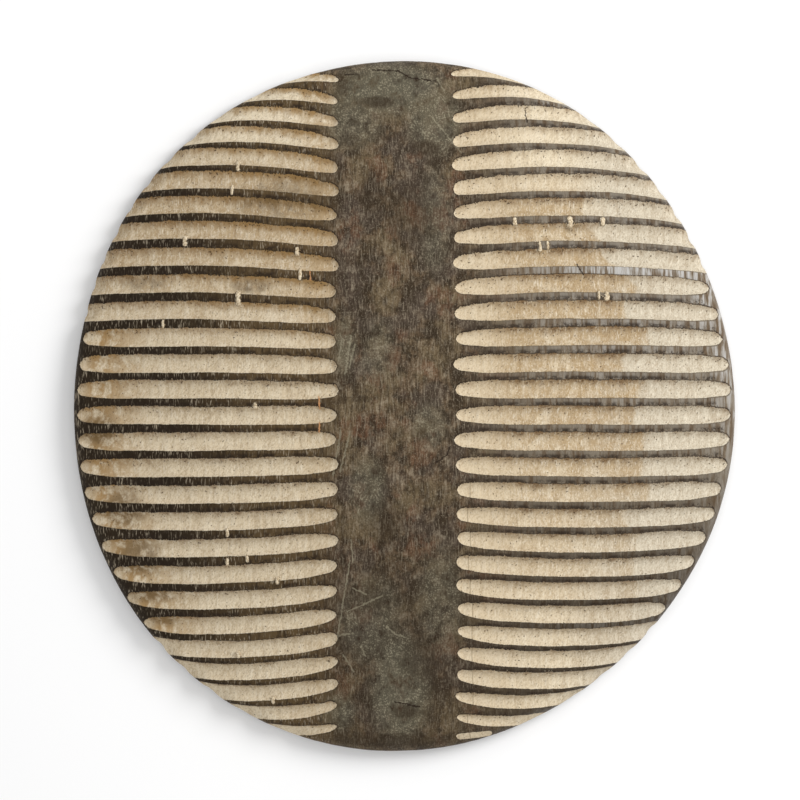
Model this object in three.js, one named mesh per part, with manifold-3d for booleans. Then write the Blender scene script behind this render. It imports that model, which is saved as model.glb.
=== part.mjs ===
// A round shield carved from one block of wood, with scooped flutes across its domed face and
// a grip left standing in its hollow back. It lies face up on its flat back rim.
// Millimetres. +Z points out of the face, +Y to its top and +X to its right-hand side.

import * as THREE from "three";
import { mergeVertices } from "three/addons/utils/BufferGeometryUtils.js";
import Module from "manifold-3d";

const { degToRad, lerp, smoothstep } = THREE.MathUtils;

// Outline of the face, an ellipse that leans a little and was hewn by eye
const HALF_WIDTH = 280.4;
const HALF_LENGTH = 292.8;
const OUTLINE_LEAN = degToRad(-4.6);
const HEWN_WAVES = [
  { lobes: 1, swell: 3.0, bearing: degToRad(170.8) },
  { lobes: 3, swell: 1.7, bearing: degToRad(-4.5) },
  { lobes: 4, swell: 0.7, bearing: degToRad(-25.6) },
  { lobes: 5, swell: 0.8, bearing: degToRad(-11.8) },
];

// Section through the wall, from the rim that it lies on up to the crown
const RIM_FLAT = 22;
const RIM_UNDER_RADIUS = 8;
const RIM_UPPER_RADIUS = 20;
const DOME_RISE = 52;
const WALL = 20;
const HOLLOW_FULLNESS = 2.6;

// Grip, a bar along Y that joins the ceiling of the hollow at both ends
const GRIP_LENGTH = 170;
const GRIP_OPENING = 120;
const GRIP_WIDTH = 28;
const GRIP_THICKNESS = 20;
const GRIP_RECESS = 3;
const GRIP_CORNER = 14;
const GRIP_ROUNDING = 5;
const GRIP_ROOT = 5;

// Flutes, scooped with one gouge
const FLUTE_WIDTH = 15.4;
const FLUTE_DEPTH = 4.2;

// A flute's inner tip rounds off over TIP_ROUND and its width goes on growing over TIP_SWELL.
// One that stops short of the rim narrows over RIM_END_ROUND, and any other runs out past it.
// at is a share of the rounded length, counted from the end, and share is of the full width.
const TIP_ROUND = 9;
const TIP_ENTRY = [
  { at: 0, share: 0.2 },
  { at: 0.25, share: 0.55 },
];
const TIP_SWELL = 42;
const SWELL_FROM = 0.84;
const RIM_END_ROUND = 12;
const RIM_EXIT = [
  { at: 0.3, share: 0.75 },
  { at: 0, share: 0.25 },
];
const OVERRUN = 9;

// The plain band, from the midline to the tips of the flutes on either side. Its right edge
// drifts outwards by BAND_DRIFT from the top row to the bottom one.
const BAND_LEFT = 56.5;
const BAND_RIGHT = 38;
const BAND_DRIFT = 5;

// How far short of the rim the middle rows stop
const LEFT_RIM_GAP = 8;
const RIGHT_RIM_GAP = 4.5;

// The two columns of flutes. Their rows spread from first to last along the face's middle arc.
// first, last and sway are shares of that arc from the centre to the top. sway makes the rows a
// little uneven, and fan and belly bow them away from the middle row.
const COLUMNS = [
  {
    side: -1,
    rows: 28,
    tip: BAND_LEFT,
    tipDrift: 0,
    first: 0.9385,
    last: -0.919,
    sway: 0.0048,
    swayRows: 11.75,
    swayFrom: 1.8,
    fan: 0.1,
    belly: 0.224,
    rimGap: LEFT_RIM_GAP,
    shortRows: [10.5, 22.5],
  },
  {
    side: 1,
    rows: 28,
    tip: BAND_RIGHT,
    tipDrift: BAND_DRIFT,
    first: 0.9365,
    last: -0.8857,
    sway: 0.0173,
    swayRows: 39.75,
    swayFrom: -12.6,
    fan: 0.015,
    belly: 0.233,
    rimGap: RIGHT_RIM_GAP,
    shortRows: [8.5, 22.5],
  },
];

// The top rows and the bottom rows grow from narrow to full width over this many rows
const NARROW_SHARE = 0.52;
const TOP_NARROW_ROWS = 9;
const BOTTOM_NARROW_ROWS = 7;

// How finely the curves are cut into flat faces. Rings have fewer points nearer the middle.
const RIM_POINTS = 60;
const OUTER_POINTS = RIM_POINTS / 2;
const INNER_POINTS = RIM_POINTS / 3;
const INNER_SHARE = 0.7;
const MIDDLE_POINTS = RIM_POINTS / 6;
const MIDDLE_SHARE = 0.3;
const DOME_STEPS = 5;
const HOLLOW_STEPS = 5;
const UPPER_ROUND_STEPS = 2;
const UNDER_ROUND_STEPS = 2;
const SCOOP_STEPS = 4;
const GRIP_CURVE_STEPS = 4;
const GRIP_ROUND_STEPS = 2;
const STATION_SPACING = 80;
const CUTTER_RISE = 9;
const SLOPE_REACH = 0.5;
const SEEK_STEP = 1;

// Section on the mean circle
const MEAN_RADIUS = (HALF_WIDTH + HALF_LENGTH) / 2;
const UPPER_ROUND_CENTRE = MEAN_RADIUS - RIM_UPPER_RADIUS;
const SHOULDER_SLOPE = Math.atan((2 * DOME_RISE) / UPPER_ROUND_CENTRE);
const DOME_RADIUS = UPPER_ROUND_CENTRE + RIM_UPPER_RADIUS * Math.sin(SHOULDER_SLOPE);
const SHOULDER_HEIGHT = RIM_UNDER_RADIUS + RIM_UPPER_RADIUS * Math.cos(SHOULDER_SLOPE);
const CROWN_HEIGHT = SHOULDER_HEIGHT + DOME_RISE;
const CROWN_RADIUS = DOME_RADIUS ** 2 / (2 * DOME_RISE);
const ARC_TO_TOP = CROWN_RADIUS * Math.asin(HALF_LENGTH / CROWN_RADIUS);
const HOLLOW_DEPTH = CROWN_HEIGHT - WALL;
const HOLLOW_RADIUS = MEAN_RADIUS - RIM_UNDER_RADIUS - RIM_FLAT;

// A gouge leaves the rounded rim along this slope instead of following it down
const LEAVING_ANGLE = degToRad(60);
const LEAVING_RADIUS = UPPER_ROUND_CENTRE + RIM_UPPER_RADIUS * Math.sin(LEAVING_ANGLE);
const LEAVING_HEIGHT = RIM_UNDER_RADIUS + RIM_UPPER_RADIUS * Math.cos(LEAVING_ANGLE);

const wasm = await Module();
wasm.setup();

function outlineRadius(angle) {
  const turned = angle - OUTLINE_LEAN;
  const ellipse =
    (HALF_WIDTH * HALF_LENGTH) /
    Math.hypot(HALF_LENGTH * Math.cos(turned), HALF_WIDTH * Math.sin(turned));
  return HEWN_WAVES.reduce(
    (radius, wave) => radius + wave.swell * Math.cos(wave.lobes * (angle - wave.bearing)),
    ellipse,
  );
}

// How far out a point lies: 1 on the outline, whatever its bearing
function outlineShare(x, y) {
  return Math.hypot(x, y) / outlineRadius(Math.atan2(y, x));
}

// Height of the face as a gouge follows it, over and past the rounded rim
function faceHeight(x, y) {
  const radius = outlineShare(x, y) * MEAN_RADIUS;
  if (radius < DOME_RADIUS) {
    return SHOULDER_HEIGHT + DOME_RISE * (1 - (radius / DOME_RADIUS) ** 2);
  }
  if (radius < LEAVING_RADIUS) {
    const reach = radius - UPPER_ROUND_CENTRE;
    return RIM_UNDER_RADIUS + Math.sqrt(RIM_UPPER_RADIUS ** 2 - reach ** 2);
  }
  return LEAVING_HEIGHT - Math.tan(LEAVING_ANGLE) * (radius - LEAVING_RADIUS);
}

function faceSlope(x, y, alongX, alongY) {
  const ahead = faceHeight(x + alongX * SLOPE_REACH, y + alongY * SLOPE_REACH);
  const behind = faceHeight(x - alongX * SLOPE_REACH, y - alongY * SLOPE_REACH);
  return (ahead - behind) / (2 * SLOPE_REACH);
}

// The y that lies arc away from the midline, measured over the curve of the dome
function levelAt(arc) {
  return CROWN_RADIUS * Math.sin(arc / CROWN_RADIUS);
}

// A point at side distance x and arc from the midline, lifted off the face or sunk below it
function pointOnFace(x, arc, lift) {
  const y = levelAt(arc);
  const normal = new THREE.Vector3(-faceSlope(x, y, 1, 0), -faceSlope(x, y, 0, 1), 1);
  return new THREE.Vector3(x, y, faceHeight(x, y)).addScaledVector(normal.normalize(), lift);
}

function ringPoints(share) {
  if (share === 0) {
    return 1;
  }
  if (share < MIDDLE_SHARE) {
    return MIDDLE_POINTS;
  }
  return share < INNER_SHARE ? INNER_POINTS : OUTER_POINTS;
}

// Rings of the shell from the middle of the hollow, over the rim and up to the crown
function shellRings() {
  const rings = [];
  for (let step = 0; step < HOLLOW_STEPS; step += 1) {
    const share = step / HOLLOW_STEPS;
    const height = HOLLOW_DEPTH * (1 - share ** HOLLOW_FULLNESS);
    rings.push({ radius: HOLLOW_RADIUS * share, height, points: ringPoints(share) });
  }
  rings.push({ radius: HOLLOW_RADIUS, height: 0, points: RIM_POINTS });
  for (let step = 0; step < UNDER_ROUND_STEPS; step += 1) {
    const angle = ((Math.PI / 2) * step) / UNDER_ROUND_STEPS;
    rings.push({
      radius: MEAN_RADIUS - RIM_UNDER_RADIUS * (1 - Math.sin(angle)),
      height: RIM_UNDER_RADIUS * (1 - Math.cos(angle)),
      points: RIM_POINTS,
    });
  }
  for (let step = 0; step < UPPER_ROUND_STEPS; step += 1) {
    const angle = lerp(Math.PI / 2, SHOULDER_SLOPE, step / UPPER_ROUND_STEPS);
    rings.push({
      radius: UPPER_ROUND_CENTRE + RIM_UPPER_RADIUS * Math.sin(angle),
      height: RIM_UNDER_RADIUS + RIM_UPPER_RADIUS * Math.cos(angle),
      points: RIM_POINTS,
    });
  }
  for (let step = DOME_STEPS; step >= 0; step -= 1) {
    const share = step / DOME_STEPS;
    const height = SHOULDER_HEIGHT + DOME_RISE * (1 - share ** 2);
    rings.push({ radius: DOME_RADIUS * share, height, points: ringPoints(share) });
  }
  return rings;
}

// Faces between two neighbouring rings, each given by its first index and number of points
function bridge(ring, next) {
  const corners = [];
  let i = 0;
  let j = 0;
  while (i < ring.points || j < next.points) {
    const here = ring.first + (i % ring.points);
    const there = next.first + (j % next.points);
    if ((i + 1) * next.points <= (j + 1) * ring.points) {
      i += 1;
      corners.push(here, ring.first + (i % ring.points), there);
    } else {
      j += 1;
      corners.push(here, next.first + (j % next.points), there);
    }
  }
  return corners;
}

// A closed body for joining and cutting, from any closed geometry
function solidOf(geometry) {
  const bare = geometry.clone();
  bare.deleteAttribute("normal");
  bare.deleteAttribute("uv");
  const merged = mergeVertices(bare);
  const corners = merged.index.array;
  const kept = [];
  for (let i = 0; i < corners.length; i += 3) {
    const [a, b, c] = corners.slice(i, i + 3);
    if (a !== b && b !== c && c !== a) {
      kept.push(a, b, c);
    }
  }
  return new wasm.Manifold(
    new wasm.Mesh({
      numProp: 3,
      vertProperties: Float32Array.from(merged.attributes.position.array),
      triVerts: Uint32Array.from(kept),
    }),
  );
}

function geometryOf(solid) {
  const mesh = solid.getMesh();
  const geometry = new THREE.BufferGeometry();
  geometry.setAttribute("position", new THREE.BufferAttribute(mesh.vertProperties, mesh.numProp));
  geometry.setIndex(new THREE.BufferAttribute(mesh.triVerts, 1));
  return geometry;
}

// The round shell, with every ring stretched to the hewn outline
function shell() {
  const rings = shellRings();
  const points = [];
  for (const ring of rings) {
    ring.first = points.length;
    for (let i = 0; i < ring.points; i += 1) {
      const angle = (2 * Math.PI * i) / ring.points;
      const radius = (ring.radius * outlineRadius(angle)) / MEAN_RADIUS;
      const x = radius * Math.cos(angle);
      const y = radius * Math.sin(angle);
      points.push(new THREE.Vector3(x, y, ring.height));
    }
  }
  const geometry = new THREE.BufferGeometry().setFromPoints(points);
  geometry.setIndex(rings.slice(1).flatMap((ring, i) => bridge(rings[i], ring)));
  return solidOf(geometry);
}

// The grip seen from the side, its length along the shape's x and its height along the shape's y
function gripOutline() {
  const end = GRIP_LENGTH / 2;
  const opening = GRIP_OPENING / 2;
  const root = HOLLOW_DEPTH + GRIP_ROOT;
  const back = GRIP_RECESS;
  const front = GRIP_RECESS + GRIP_THICKNESS;
  const straight = opening - GRIP_CORNER;
  const outline = new THREE.Shape();
  outline.moveTo(-end, root);
  outline.quadraticCurveTo(-end, back, -straight, back);
  outline.lineTo(straight, back);
  outline.quadraticCurveTo(end, back, end, root);
  outline.lineTo(opening, root);
  outline.lineTo(opening, front + GRIP_CORNER);
  outline.quadraticCurveTo(opening, front, straight, front);
  outline.lineTo(-straight, front);
  outline.quadraticCurveTo(-opening, front, -opening, front + GRIP_CORNER);
  outline.lineTo(-opening, root);
  outline.closePath();
  return outline;
}

function grip() {
  const geometry = new THREE.ExtrudeGeometry(gripOutline(), {
    depth: GRIP_WIDTH - 2 * GRIP_ROUNDING,
    curveSegments: GRIP_CURVE_STEPS,
    bevelThickness: GRIP_ROUNDING,
    bevelSize: GRIP_ROUNDING,
    bevelOffset: -GRIP_ROUNDING,
    bevelSegments: GRIP_ROUND_STEPS,
  });
  geometry.translate(0, 0, GRIP_ROUNDING - GRIP_WIDTH / 2);
  const alongX = new THREE.Vector3(1, 0, 0);
  const alongY = new THREE.Vector3(0, 1, 0);
  const alongZ = new THREE.Vector3(0, 0, 1);
  geometry.applyMatrix4(new THREE.Matrix4().makeBasis(alongY, alongZ, alongX));
  return solidOf(geometry);
}

// Arc from the midline at which a row starts, at its inner tip
function rowArc(column, row) {
  const even = lerp(column.first, column.last, row / (column.rows - 1));
  const turns = (row - column.swayFrom) / column.swayRows;
  return ARC_TO_TOP * (even + column.sway * Math.sin(2 * Math.PI * turns));
}

// Share of the full flute width that a row has
function rowFullness(column, row) {
  const fromTop = smoothstep(row, -1, TOP_NARROW_ROWS);
  const fromBottom = smoothstep(column.rows - 1 - row, -1, BOTTOM_NARROW_ROWS);
  return lerp(NARROW_SHARE, 1, Math.min(fromTop, fromBottom));
}

// Where a row runs: its inner tip, its arc from the midline at any distance along it, and the
// distances at which it comes to the shoulder, to the slope where a gouge leaves, and to the rim
function rowCourse(column, row) {
  const arc = rowArc(column, row);
  const tip = column.tip + (column.tipDrift * row) / (column.rows - 1);
  const reach = HALF_WIDTH * Math.sqrt(1 - (levelAt(arc) / HALF_LENGTH) ** 2);
  const length = reach - tip;
  const arcAt = (distance) => {
    const share = distance / length;
    const bow = column.fan * share + column.belly * share * (1 - share);
    return arc + (arc / ARC_TO_TOP) * length * bow;
  };
  const distanceTo = (share) => {
    let distance = 0;
    while (outlineShare(column.side * (tip + distance), levelAt(arcAt(distance))) < share) {
      distance += SEEK_STEP;
    }
    return distance;
  };
  return {
    tip,
    arcAt,
    toShoulder: distanceTo(DOME_RADIUS / MEAN_RADIUS),
    toLeaving: distanceTo(LEAVING_RADIUS / MEAN_RADIUS),
    toRim: distanceTo(1),
  };
}

// Places along a row where its section is set, each with the share of full width that it has
function rowStations(column, row, course) {
  const [from, to] = column.shortRows;
  const endsShort = row > from && row < to;
  const end = course.toRim - column.rimGap;
  const swell = (distance) => lerp(SWELL_FROM, 1, smoothstep(distance, 0, TIP_SWELL));
  const stations = TIP_ENTRY.map(({ at, share }) => ({ distance: TIP_ROUND * at, share }));
  stations.push({ distance: TIP_ROUND, share: swell(TIP_ROUND) });
  const last = endsShort ? end - RIM_END_ROUND : course.toShoulder;
  const spans = Math.max(1, Math.round((last - TIP_ROUND) / STATION_SPACING));
  for (let span = 1; span <= spans; span += 1) {
    const distance = lerp(TIP_ROUND, last, span / spans);
    stations.push({ distance, share: swell(distance) });
  }
  if (endsShort) {
    for (const { at, share } of RIM_EXIT) {
      stations.push({ distance: end - RIM_END_ROUND * at, share });
    }
  } else {
    stations.push({ distance: course.toLeaving, share: 1 });
    stations.push({ distance: course.toRim + OVERRUN, share: 1 });
  }
  return stations.sort((one, other) => one.distance - other.distance);
}

// One ring of a cutter: the scoop below the face, closed by two points above it
function cutterRing(column, course, station, fullness) {
  const width = FLUTE_WIDTH * fullness * station.share;
  const depth = FLUTE_DEPTH * fullness * station.share;
  const x = column.side * (course.tip + station.distance);
  const arc = course.arcAt(station.distance);
  const ring = [];
  for (let step = 0; step <= SCOOP_STEPS; step += 1) {
    const across = (2 * step) / SCOOP_STEPS - 1;
    ring.push(pointOnFace(x, arc + (across * width) / 2, -depth * (1 - across ** 2)));
  }
  ring.push(pointOnFace(x, arc + width / 2, CUTTER_RISE));
  ring.push(pointOnFace(x, arc - width / 2, CUTTER_RISE));
  return column.side > 0 ? ring : ring.reverse();
}

// A closed body through rings of equally many points
function loft(rings) {
  const around = rings[0].length;
  const corners = [];
  for (let ring = 0; ring < rings.length - 1; ring += 1) {
    for (let i = 0; i < around; i += 1) {
      const here = ring * around + i;
      const next = ring * around + ((i + 1) % around);
      corners.push(here, next, next + around, here, next + around, here + around);
    }
  }
  const lastRing = (rings.length - 1) * around;
  for (let i = 1; i < around - 1; i += 1) {
    corners.push(0, i + 1, i, lastRing, lastRing + i, lastRing + i + 1);
  }
  const geometry = new THREE.BufferGeometry().setFromPoints(rings.flat());
  geometry.setIndex(corners);
  return solidOf(geometry);
}

function fluteCutters() {
  return COLUMNS.flatMap((column) =>
    Array.from({ length: column.rows }, (_, row) => {
      const course = rowCourse(column, row);
      const fullness = rowFullness(column, row);
      const stations = rowStations(column, row, course);
      return loft(stations.map((station) => cutterRing(column, course, station, fullness)));
    }),
  );
}

function carvedShield() {
  const blank = shell().add(grip());
  const carved = fluteCutters().reduce((body, cutter) => body.subtract(cutter), blank);
  const geometry = geometryOf(carved);
  geometry.computeBoundingBox();
  const middle = geometry.boundingBox.getCenter(new THREE.Vector3());
  geometry.translate(-middle.x, -middle.y, 0);
  geometry.computeVertexNormals();
  return geometry;
}

const carvedWood = new THREE.MeshStandardMaterial({
  name: "carved_wood",
  color: new THREE.Color(0.33, 0.27, 0.2),
  roughness: 0.75,
  metalness: 0,
});

const shield = new THREE.Mesh(carvedShield(), carvedWood);
shield.name = "shield";

const part = new THREE.Group();
part.add(shield);

export default part;
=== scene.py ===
"""Looks of a carved wooden shield: pale scooped flutes in a dark stained skin.

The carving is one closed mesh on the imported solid's form, with finer flutes, tool marks and chips.
Metres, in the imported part's frame: +Z points out of the face and +Y to its top.
"""

import math

import bpy
import numpy as np
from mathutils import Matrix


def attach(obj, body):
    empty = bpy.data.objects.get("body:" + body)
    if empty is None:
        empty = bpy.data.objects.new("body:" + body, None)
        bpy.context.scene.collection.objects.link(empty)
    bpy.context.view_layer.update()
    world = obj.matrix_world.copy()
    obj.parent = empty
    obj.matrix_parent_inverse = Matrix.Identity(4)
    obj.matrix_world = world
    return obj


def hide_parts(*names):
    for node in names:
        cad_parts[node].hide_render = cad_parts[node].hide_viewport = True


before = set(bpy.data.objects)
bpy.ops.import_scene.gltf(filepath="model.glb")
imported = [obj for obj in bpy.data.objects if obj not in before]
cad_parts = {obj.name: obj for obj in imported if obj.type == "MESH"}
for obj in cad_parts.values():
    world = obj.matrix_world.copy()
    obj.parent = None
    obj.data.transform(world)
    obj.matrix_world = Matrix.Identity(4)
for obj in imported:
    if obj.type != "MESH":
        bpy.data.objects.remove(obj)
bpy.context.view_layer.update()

MM = 0.001
TINY = 1e-4

# Outline of the face, an ellipse that leans a little and was hewn by eye
HALF_WIDTH = 280.4 * MM
HALF_LENGTH = 292.8 * MM
OUTLINE_LEAN = math.radians(-4.6)
HEWN_WAVES = [
    {"lobes": 1, "swell": 3.0 * MM, "bearing": math.radians(170.8)},
    {"lobes": 3, "swell": 1.7 * MM, "bearing": math.radians(-4.5)},
    {"lobes": 4, "swell": 0.7 * MM, "bearing": math.radians(-25.6)},
    {"lobes": 5, "swell": 0.8 * MM, "bearing": math.radians(-11.8)},
]

# Section through the wall
RIM_FLAT = 22 * MM
RIM_UNDER_RADIUS = 8 * MM
RIM_UPPER_RADIUS = 20 * MM
DOME_RISE = 52 * MM
WALL = 20 * MM
HOLLOW_FULLNESS = 2.6
MOUTH_WEAR = 1.4 * MM

# Grip, a bar along Y that joins the ceiling of the hollow at both ends
GRIP_LENGTH = 170 * MM
GRIP_OPENING = 120 * MM
GRIP_WIDTH = 28 * MM
GRIP_THICKNESS = 20 * MM
GRIP_RECESS = 3 * MM
GRIP_CORNER = 14 * MM
GRIP_ROUNDING = 5 * MM
GRIP_ROOT = 4 * MM
GRIP_TURN_LENGTH = 1.6 * GRIP_CORNER
GRIP_ROUGHNESS = 0.3 * MM
GRIP_ROUGH_WAVE = 6 * MM
GRIP_ROUGH_STATIONS = 3
GRIP_SEED = 77

# Flutes
FLUTE_WIDTH = 15.4 * MM
FLUTE_DEPTH = 4.2 * MM
SCOOP_POWER = 2.2
TIP_ROUND = 6.5 * MM
TIP_SWELL = 36 * MM
SWELL_FROM = 0.64
LEAVING_ANGLE = math.radians(60)
BAND_LEFT = 56.5 * MM
BAND_RIGHT = 38 * MM
BAND_DRIFT = 5 * MM
LEFT_RIM_GAP = 3.2 * MM
RIGHT_RIM_GAP = 4.5 * MM
ROWS = 28
LAST_ROW = ROWS - 1
NARROW_SHARE = 0.6
TOP_NARROW_ROWS = 4
BOTTOM_NARROW_ROWS = 2.5
NO_ROWS = (0, 0)

# The two columns of flutes. first, last and sway are shares of the arc from centre to top.
LEFT = {
    "side": -1,
    "tip": BAND_LEFT,
    "tip_drift": 0,
    "first": 0.9385,
    "last": -0.919,
    "sway": 0.0048,
    "sway_rows": 11.75,
    "sway_from": 1.8,
    "fan": 0.1,
    "belly": 0.224,
    "rim_gap": LEFT_RIM_GAP,
    "short_rows": (10.5, 22.5),
    "stop_cut_rows": NO_ROWS,
    "seed": 11,
}
RIGHT = {
    "side": 1,
    "tip": BAND_RIGHT,
    "tip_drift": BAND_DRIFT,
    "first": 0.9365,
    "last": -0.8857,
    "sway": 0.0173,
    "sway_rows": 39.75,
    "sway_from": -12.6,
    "fan": 0.015,
    "belly": 0.233,
    "rim_gap": RIGHT_RIM_GAP,
    "short_rows": (8.5, 22.5),
    "stop_cut_rows": (16.5, 27.5),
    "seed": 23,
}

# How the hand of the carver shows. A wave is the length over which something varies, a lane
# is a line through a flute's own noise, and a range is a share of the plain value.
TIP_JITTER = 1.3 * MM
TIP_ROUND_RANGE = (0.75, 1.3)
SWELL_RANGE = (0.88, 1.12)
RIM_GAP_RANGE = (0.75, 1.25)
WANDER = 0.45 * MM
WANDER_WAVE = 45 * MM
WANDER_LANE = 3.5
WANDER_FROM = 20 * MM
WIDTH_UNEVEN = 0.05
WIDTH_WAVE = 28 * MM
UPPER_LANE = 20.5
LOWER_LANE = 40.5
DEPTH_UNEVEN = 0.13
DEPTH_WAVE = 22 * MM
DEPTH_LANE = 60.5
DEPTH_POWER = 1.15
EDGE_NICK = 0.28 * MM
UPPER_NICK = 1.5
LOWER_NICK = 0.6
NICK_WAVE = 6 * MM
NICK_LANE_STEP = 5
NICKED_FROM = 0.6
EDGE_WEAR = 0.3 * MM
EDGE_WEAR_OUT = 1.2 * MM
EDGE_WEAR_IN = 0.5 * MM
SKIN_UNDULATION = 0.35 * MM
SKIN_BROAD = {"share": 0.6, "across": 38 * MM, "upwards": 60 * MM, "seed": 401}
SKIN_FINE = {"share": 0.25, "across": 9 * MM, "upwards": 22 * MM, "seed": 402}
SKIN_GRAIN = {"share": 0.15, "across": 2.2 * MM, "upwards": 30 * MM, "seed": 403}
CALM_FROM = 0.985
CHATTER = 0.1 * MM
CHATTER_WAVE = 2.2 * MM
CHATTER_LANES = 2.5
CHATTER_FROM = 0.8 * MM
SLIVER_ROW = ((459, 737), (489, 734))
SLIVER_ROW_HALF = 2.8 * MM
SLIVER_ROW_DEPTH = 0.9 * MM
STOP_CUT_AT = 12 * MM
STOP_CUT_RANGE = (0.75, 1.4)
STOP_CUT_STEP = 0.7 * MM
STOP_CUT_SOFT = 0.6 * MM
ADZE_DEPTH = 0.7 * MM
ADZE_SEED = 404
ADZE_ROW = 17 * MM
ADZE_STROKE = 29 * MM
ADZE_STROKE_WANDER = 1.7
ADZE_WAVE = 60 * MM
ADZE_FADE = (2 * MM, 16 * MM)
ADZE_ROW_SHARE = 0.7
ADZE_STROKE_SHARE = 0.3
ADZE_LEVEL = 0.6

# How the lines and points of the mesh are laid
FLUTE_LINES = np.array([1, 0.9, 0.72, 0.5, 0.25, 0, -0.25, -0.5, -0.72, -0.9, -1])
RIDGE_LINES = 2
RIDGE_LINE_SHARE = 0.13
LINE_BUNDLE = 0.5
ROW_SAMPLES = 85
BAND_INTERVALS = 26
CAP_LINES = 12
UNDER_ROWS = 4
HOLLOW_RINGS = 30
HOLLOW_POINTS = 288
HOLLOW_THINNING = [(0.5, 1), (0.25, 2), (0.1, 4), (-1, 12)]
GRIP_BEND_STATIONS = 18
GRIP_STRAIGHT_STATIONS = 6
GRIP_SECTION = 36
TIP_SPACING = 1.25 * MM
TIP_SPACED = (8 * MM, 40 * MM)
END_SPACED = (5 * MM, 14 * MM)
MIDDLE_SPACING = 3.7 * MM
EDGE_SPACING = 2.0 * MM
EDGE_SPACED = (math.radians(18), math.radians(30))
SEARCH_REACH = 1.05 * HALF_WIDTH
SEARCH_STEPS = 900
SEARCH_ROUNDS = 40
FINE_STEPS = 500
FOLLOW_OVER = 0.1
SETTLED_AT_RIM = (0.93, 0.985)
RIDGE_SPREAD = (2 * MM, 9 * MM)
BAND_START = 0.5 * MM
BAND_SETTLED = 16 * MM
SMOOTHING_ROUNDS = 60
CAP_CROWDING = 0.9
SAME_PLACE = 0.002 * MM
LEAST_HALF = 1e-4 * MM
MOUTH_STEP = 0.4
HOLLOW_CROWDING = 1.15

# Section on the mean circle
MEAN_RADIUS = (HALF_WIDTH + HALF_LENGTH) / 2
UPPER_ROUND_CENTRE = MEAN_RADIUS - RIM_UPPER_RADIUS
SHOULDER_SLOPE = math.atan(2 * DOME_RISE / UPPER_ROUND_CENTRE)
DOME_RADIUS = UPPER_ROUND_CENTRE + RIM_UPPER_RADIUS * math.sin(SHOULDER_SLOPE)
SHOULDER_HEIGHT = RIM_UNDER_RADIUS + RIM_UPPER_RADIUS * math.cos(SHOULDER_SLOPE)
CROWN_HEIGHT = SHOULDER_HEIGHT + DOME_RISE
CROWN_RADIUS = DOME_RADIUS**2 / (2 * DOME_RISE)
ARC_TO_TOP = CROWN_RADIUS * math.asin(HALF_LENGTH / CROWN_RADIUS)
HOLLOW_DEPTH = CROWN_HEIGHT - WALL
HOLLOW_RADIUS = MEAN_RADIUS - RIM_UNDER_RADIUS - RIM_FLAT

# The photograph looks straight down on the face. A place in it is a pixel, and these turn it
# into a place on the face.
PHOTO_MIDDLE = 400
METRES_PER_PIXEL = 0.848 * MM
LENS_MM = 120
SENSOR_MM = 36
CAMERA_X = -3.816 * MM
CAMERA_Y = 5.088 * MM
CAMERA_HEIGHT = RIM_UNDER_RADIUS + METRES_PER_PIXEL * 2 * PHOTO_MIDDLE * LENS_MM / SENSOR_MM
PLACE_ROUNDS = 4


def lerp(a, b, share):
    return a + (b - a) * share


def smoothstep(value, low, high):
    share = np.clip((value - low) / (high - low), 0, 1)
    return share * share * (3 - 2 * share)


# Smooth seeded noise


class Noise:
    """Noise from -1 to 1 with features about one unit long, over two coordinates."""

    SIZE = 256

    def __init__(self, seed):
        self.table = np.random.default_rng(seed).uniform(-1, 1, (self.SIZE, self.SIZE))

    def __call__(self, u, v):
        u, v = np.broadcast_arrays(np.asarray(u, float), np.asarray(v, float))
        i = np.floor(u).astype(int)
        j = np.floor(v).astype(int)
        a = smoothstep(u - i, 0, 1)
        b = smoothstep(v - j, 0, 1)
        top = lerp(self.corner(i, j), self.corner(i + 1, j), a)
        bottom = lerp(self.corner(i, j + 1), self.corner(i + 1, j + 1), a)
        return lerp(top, bottom, b)

    def corner(self, i, j):
        return self.table[i % self.SIZE, j % self.SIZE]


# The plain form of the face


def outline_radius(angle):
    turned = angle - OUTLINE_LEAN
    across = HALF_LENGTH * np.cos(turned)
    upwards = HALF_WIDTH * np.sin(turned)
    ellipse = HALF_WIDTH * HALF_LENGTH / np.hypot(across, upwards)
    waves = (w["swell"] * np.cos(w["lobes"] * (angle - w["bearing"])) for w in HEWN_WAVES)
    return ellipse + sum(waves)


def outline_share(x, y):
    """How far out a point lies: 1 on the outline, whatever its bearing."""
    return np.hypot(x, y) / outline_radius(np.arctan2(y, x))


def outline_middle():
    """Middle of the outline's box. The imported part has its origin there."""
    angle = np.linspace(0, 2 * math.pi, 3600)
    x = outline_radius(angle) * np.cos(angle)
    y = outline_radius(angle) * np.sin(angle)
    return (x.min() + x.max()) / 2, (y.min() + y.max()) / 2


MIDDLE_X, MIDDLE_Y = outline_middle()


def face_lean(share):
    """How far the face leans outwards: 0 at the crown, a right angle on the outline."""
    radius = share * MEAN_RADIUS
    dome = np.arctan(2 * DOME_RISE * radius / DOME_RADIUS**2)
    edge = np.arcsin(np.clip((radius - UPPER_ROUND_CENTRE) / RIM_UPPER_RADIUS, 0, 1))
    return np.where(radius < DOME_RADIUS, dome, edge)


def face_height(share):
    radius = share * MEAN_RADIUS
    dome = SHOULDER_HEIGHT + DOME_RISE * (1 - (radius / DOME_RADIUS) ** 2)
    reach = np.clip(radius - UPPER_ROUND_CENTRE, 0, RIM_UPPER_RADIUS)
    edge = RIM_UNDER_RADIUS + np.sqrt(RIM_UPPER_RADIUS**2 - reach**2)
    return np.where(radius < DOME_RADIUS, dome, edge)


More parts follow.
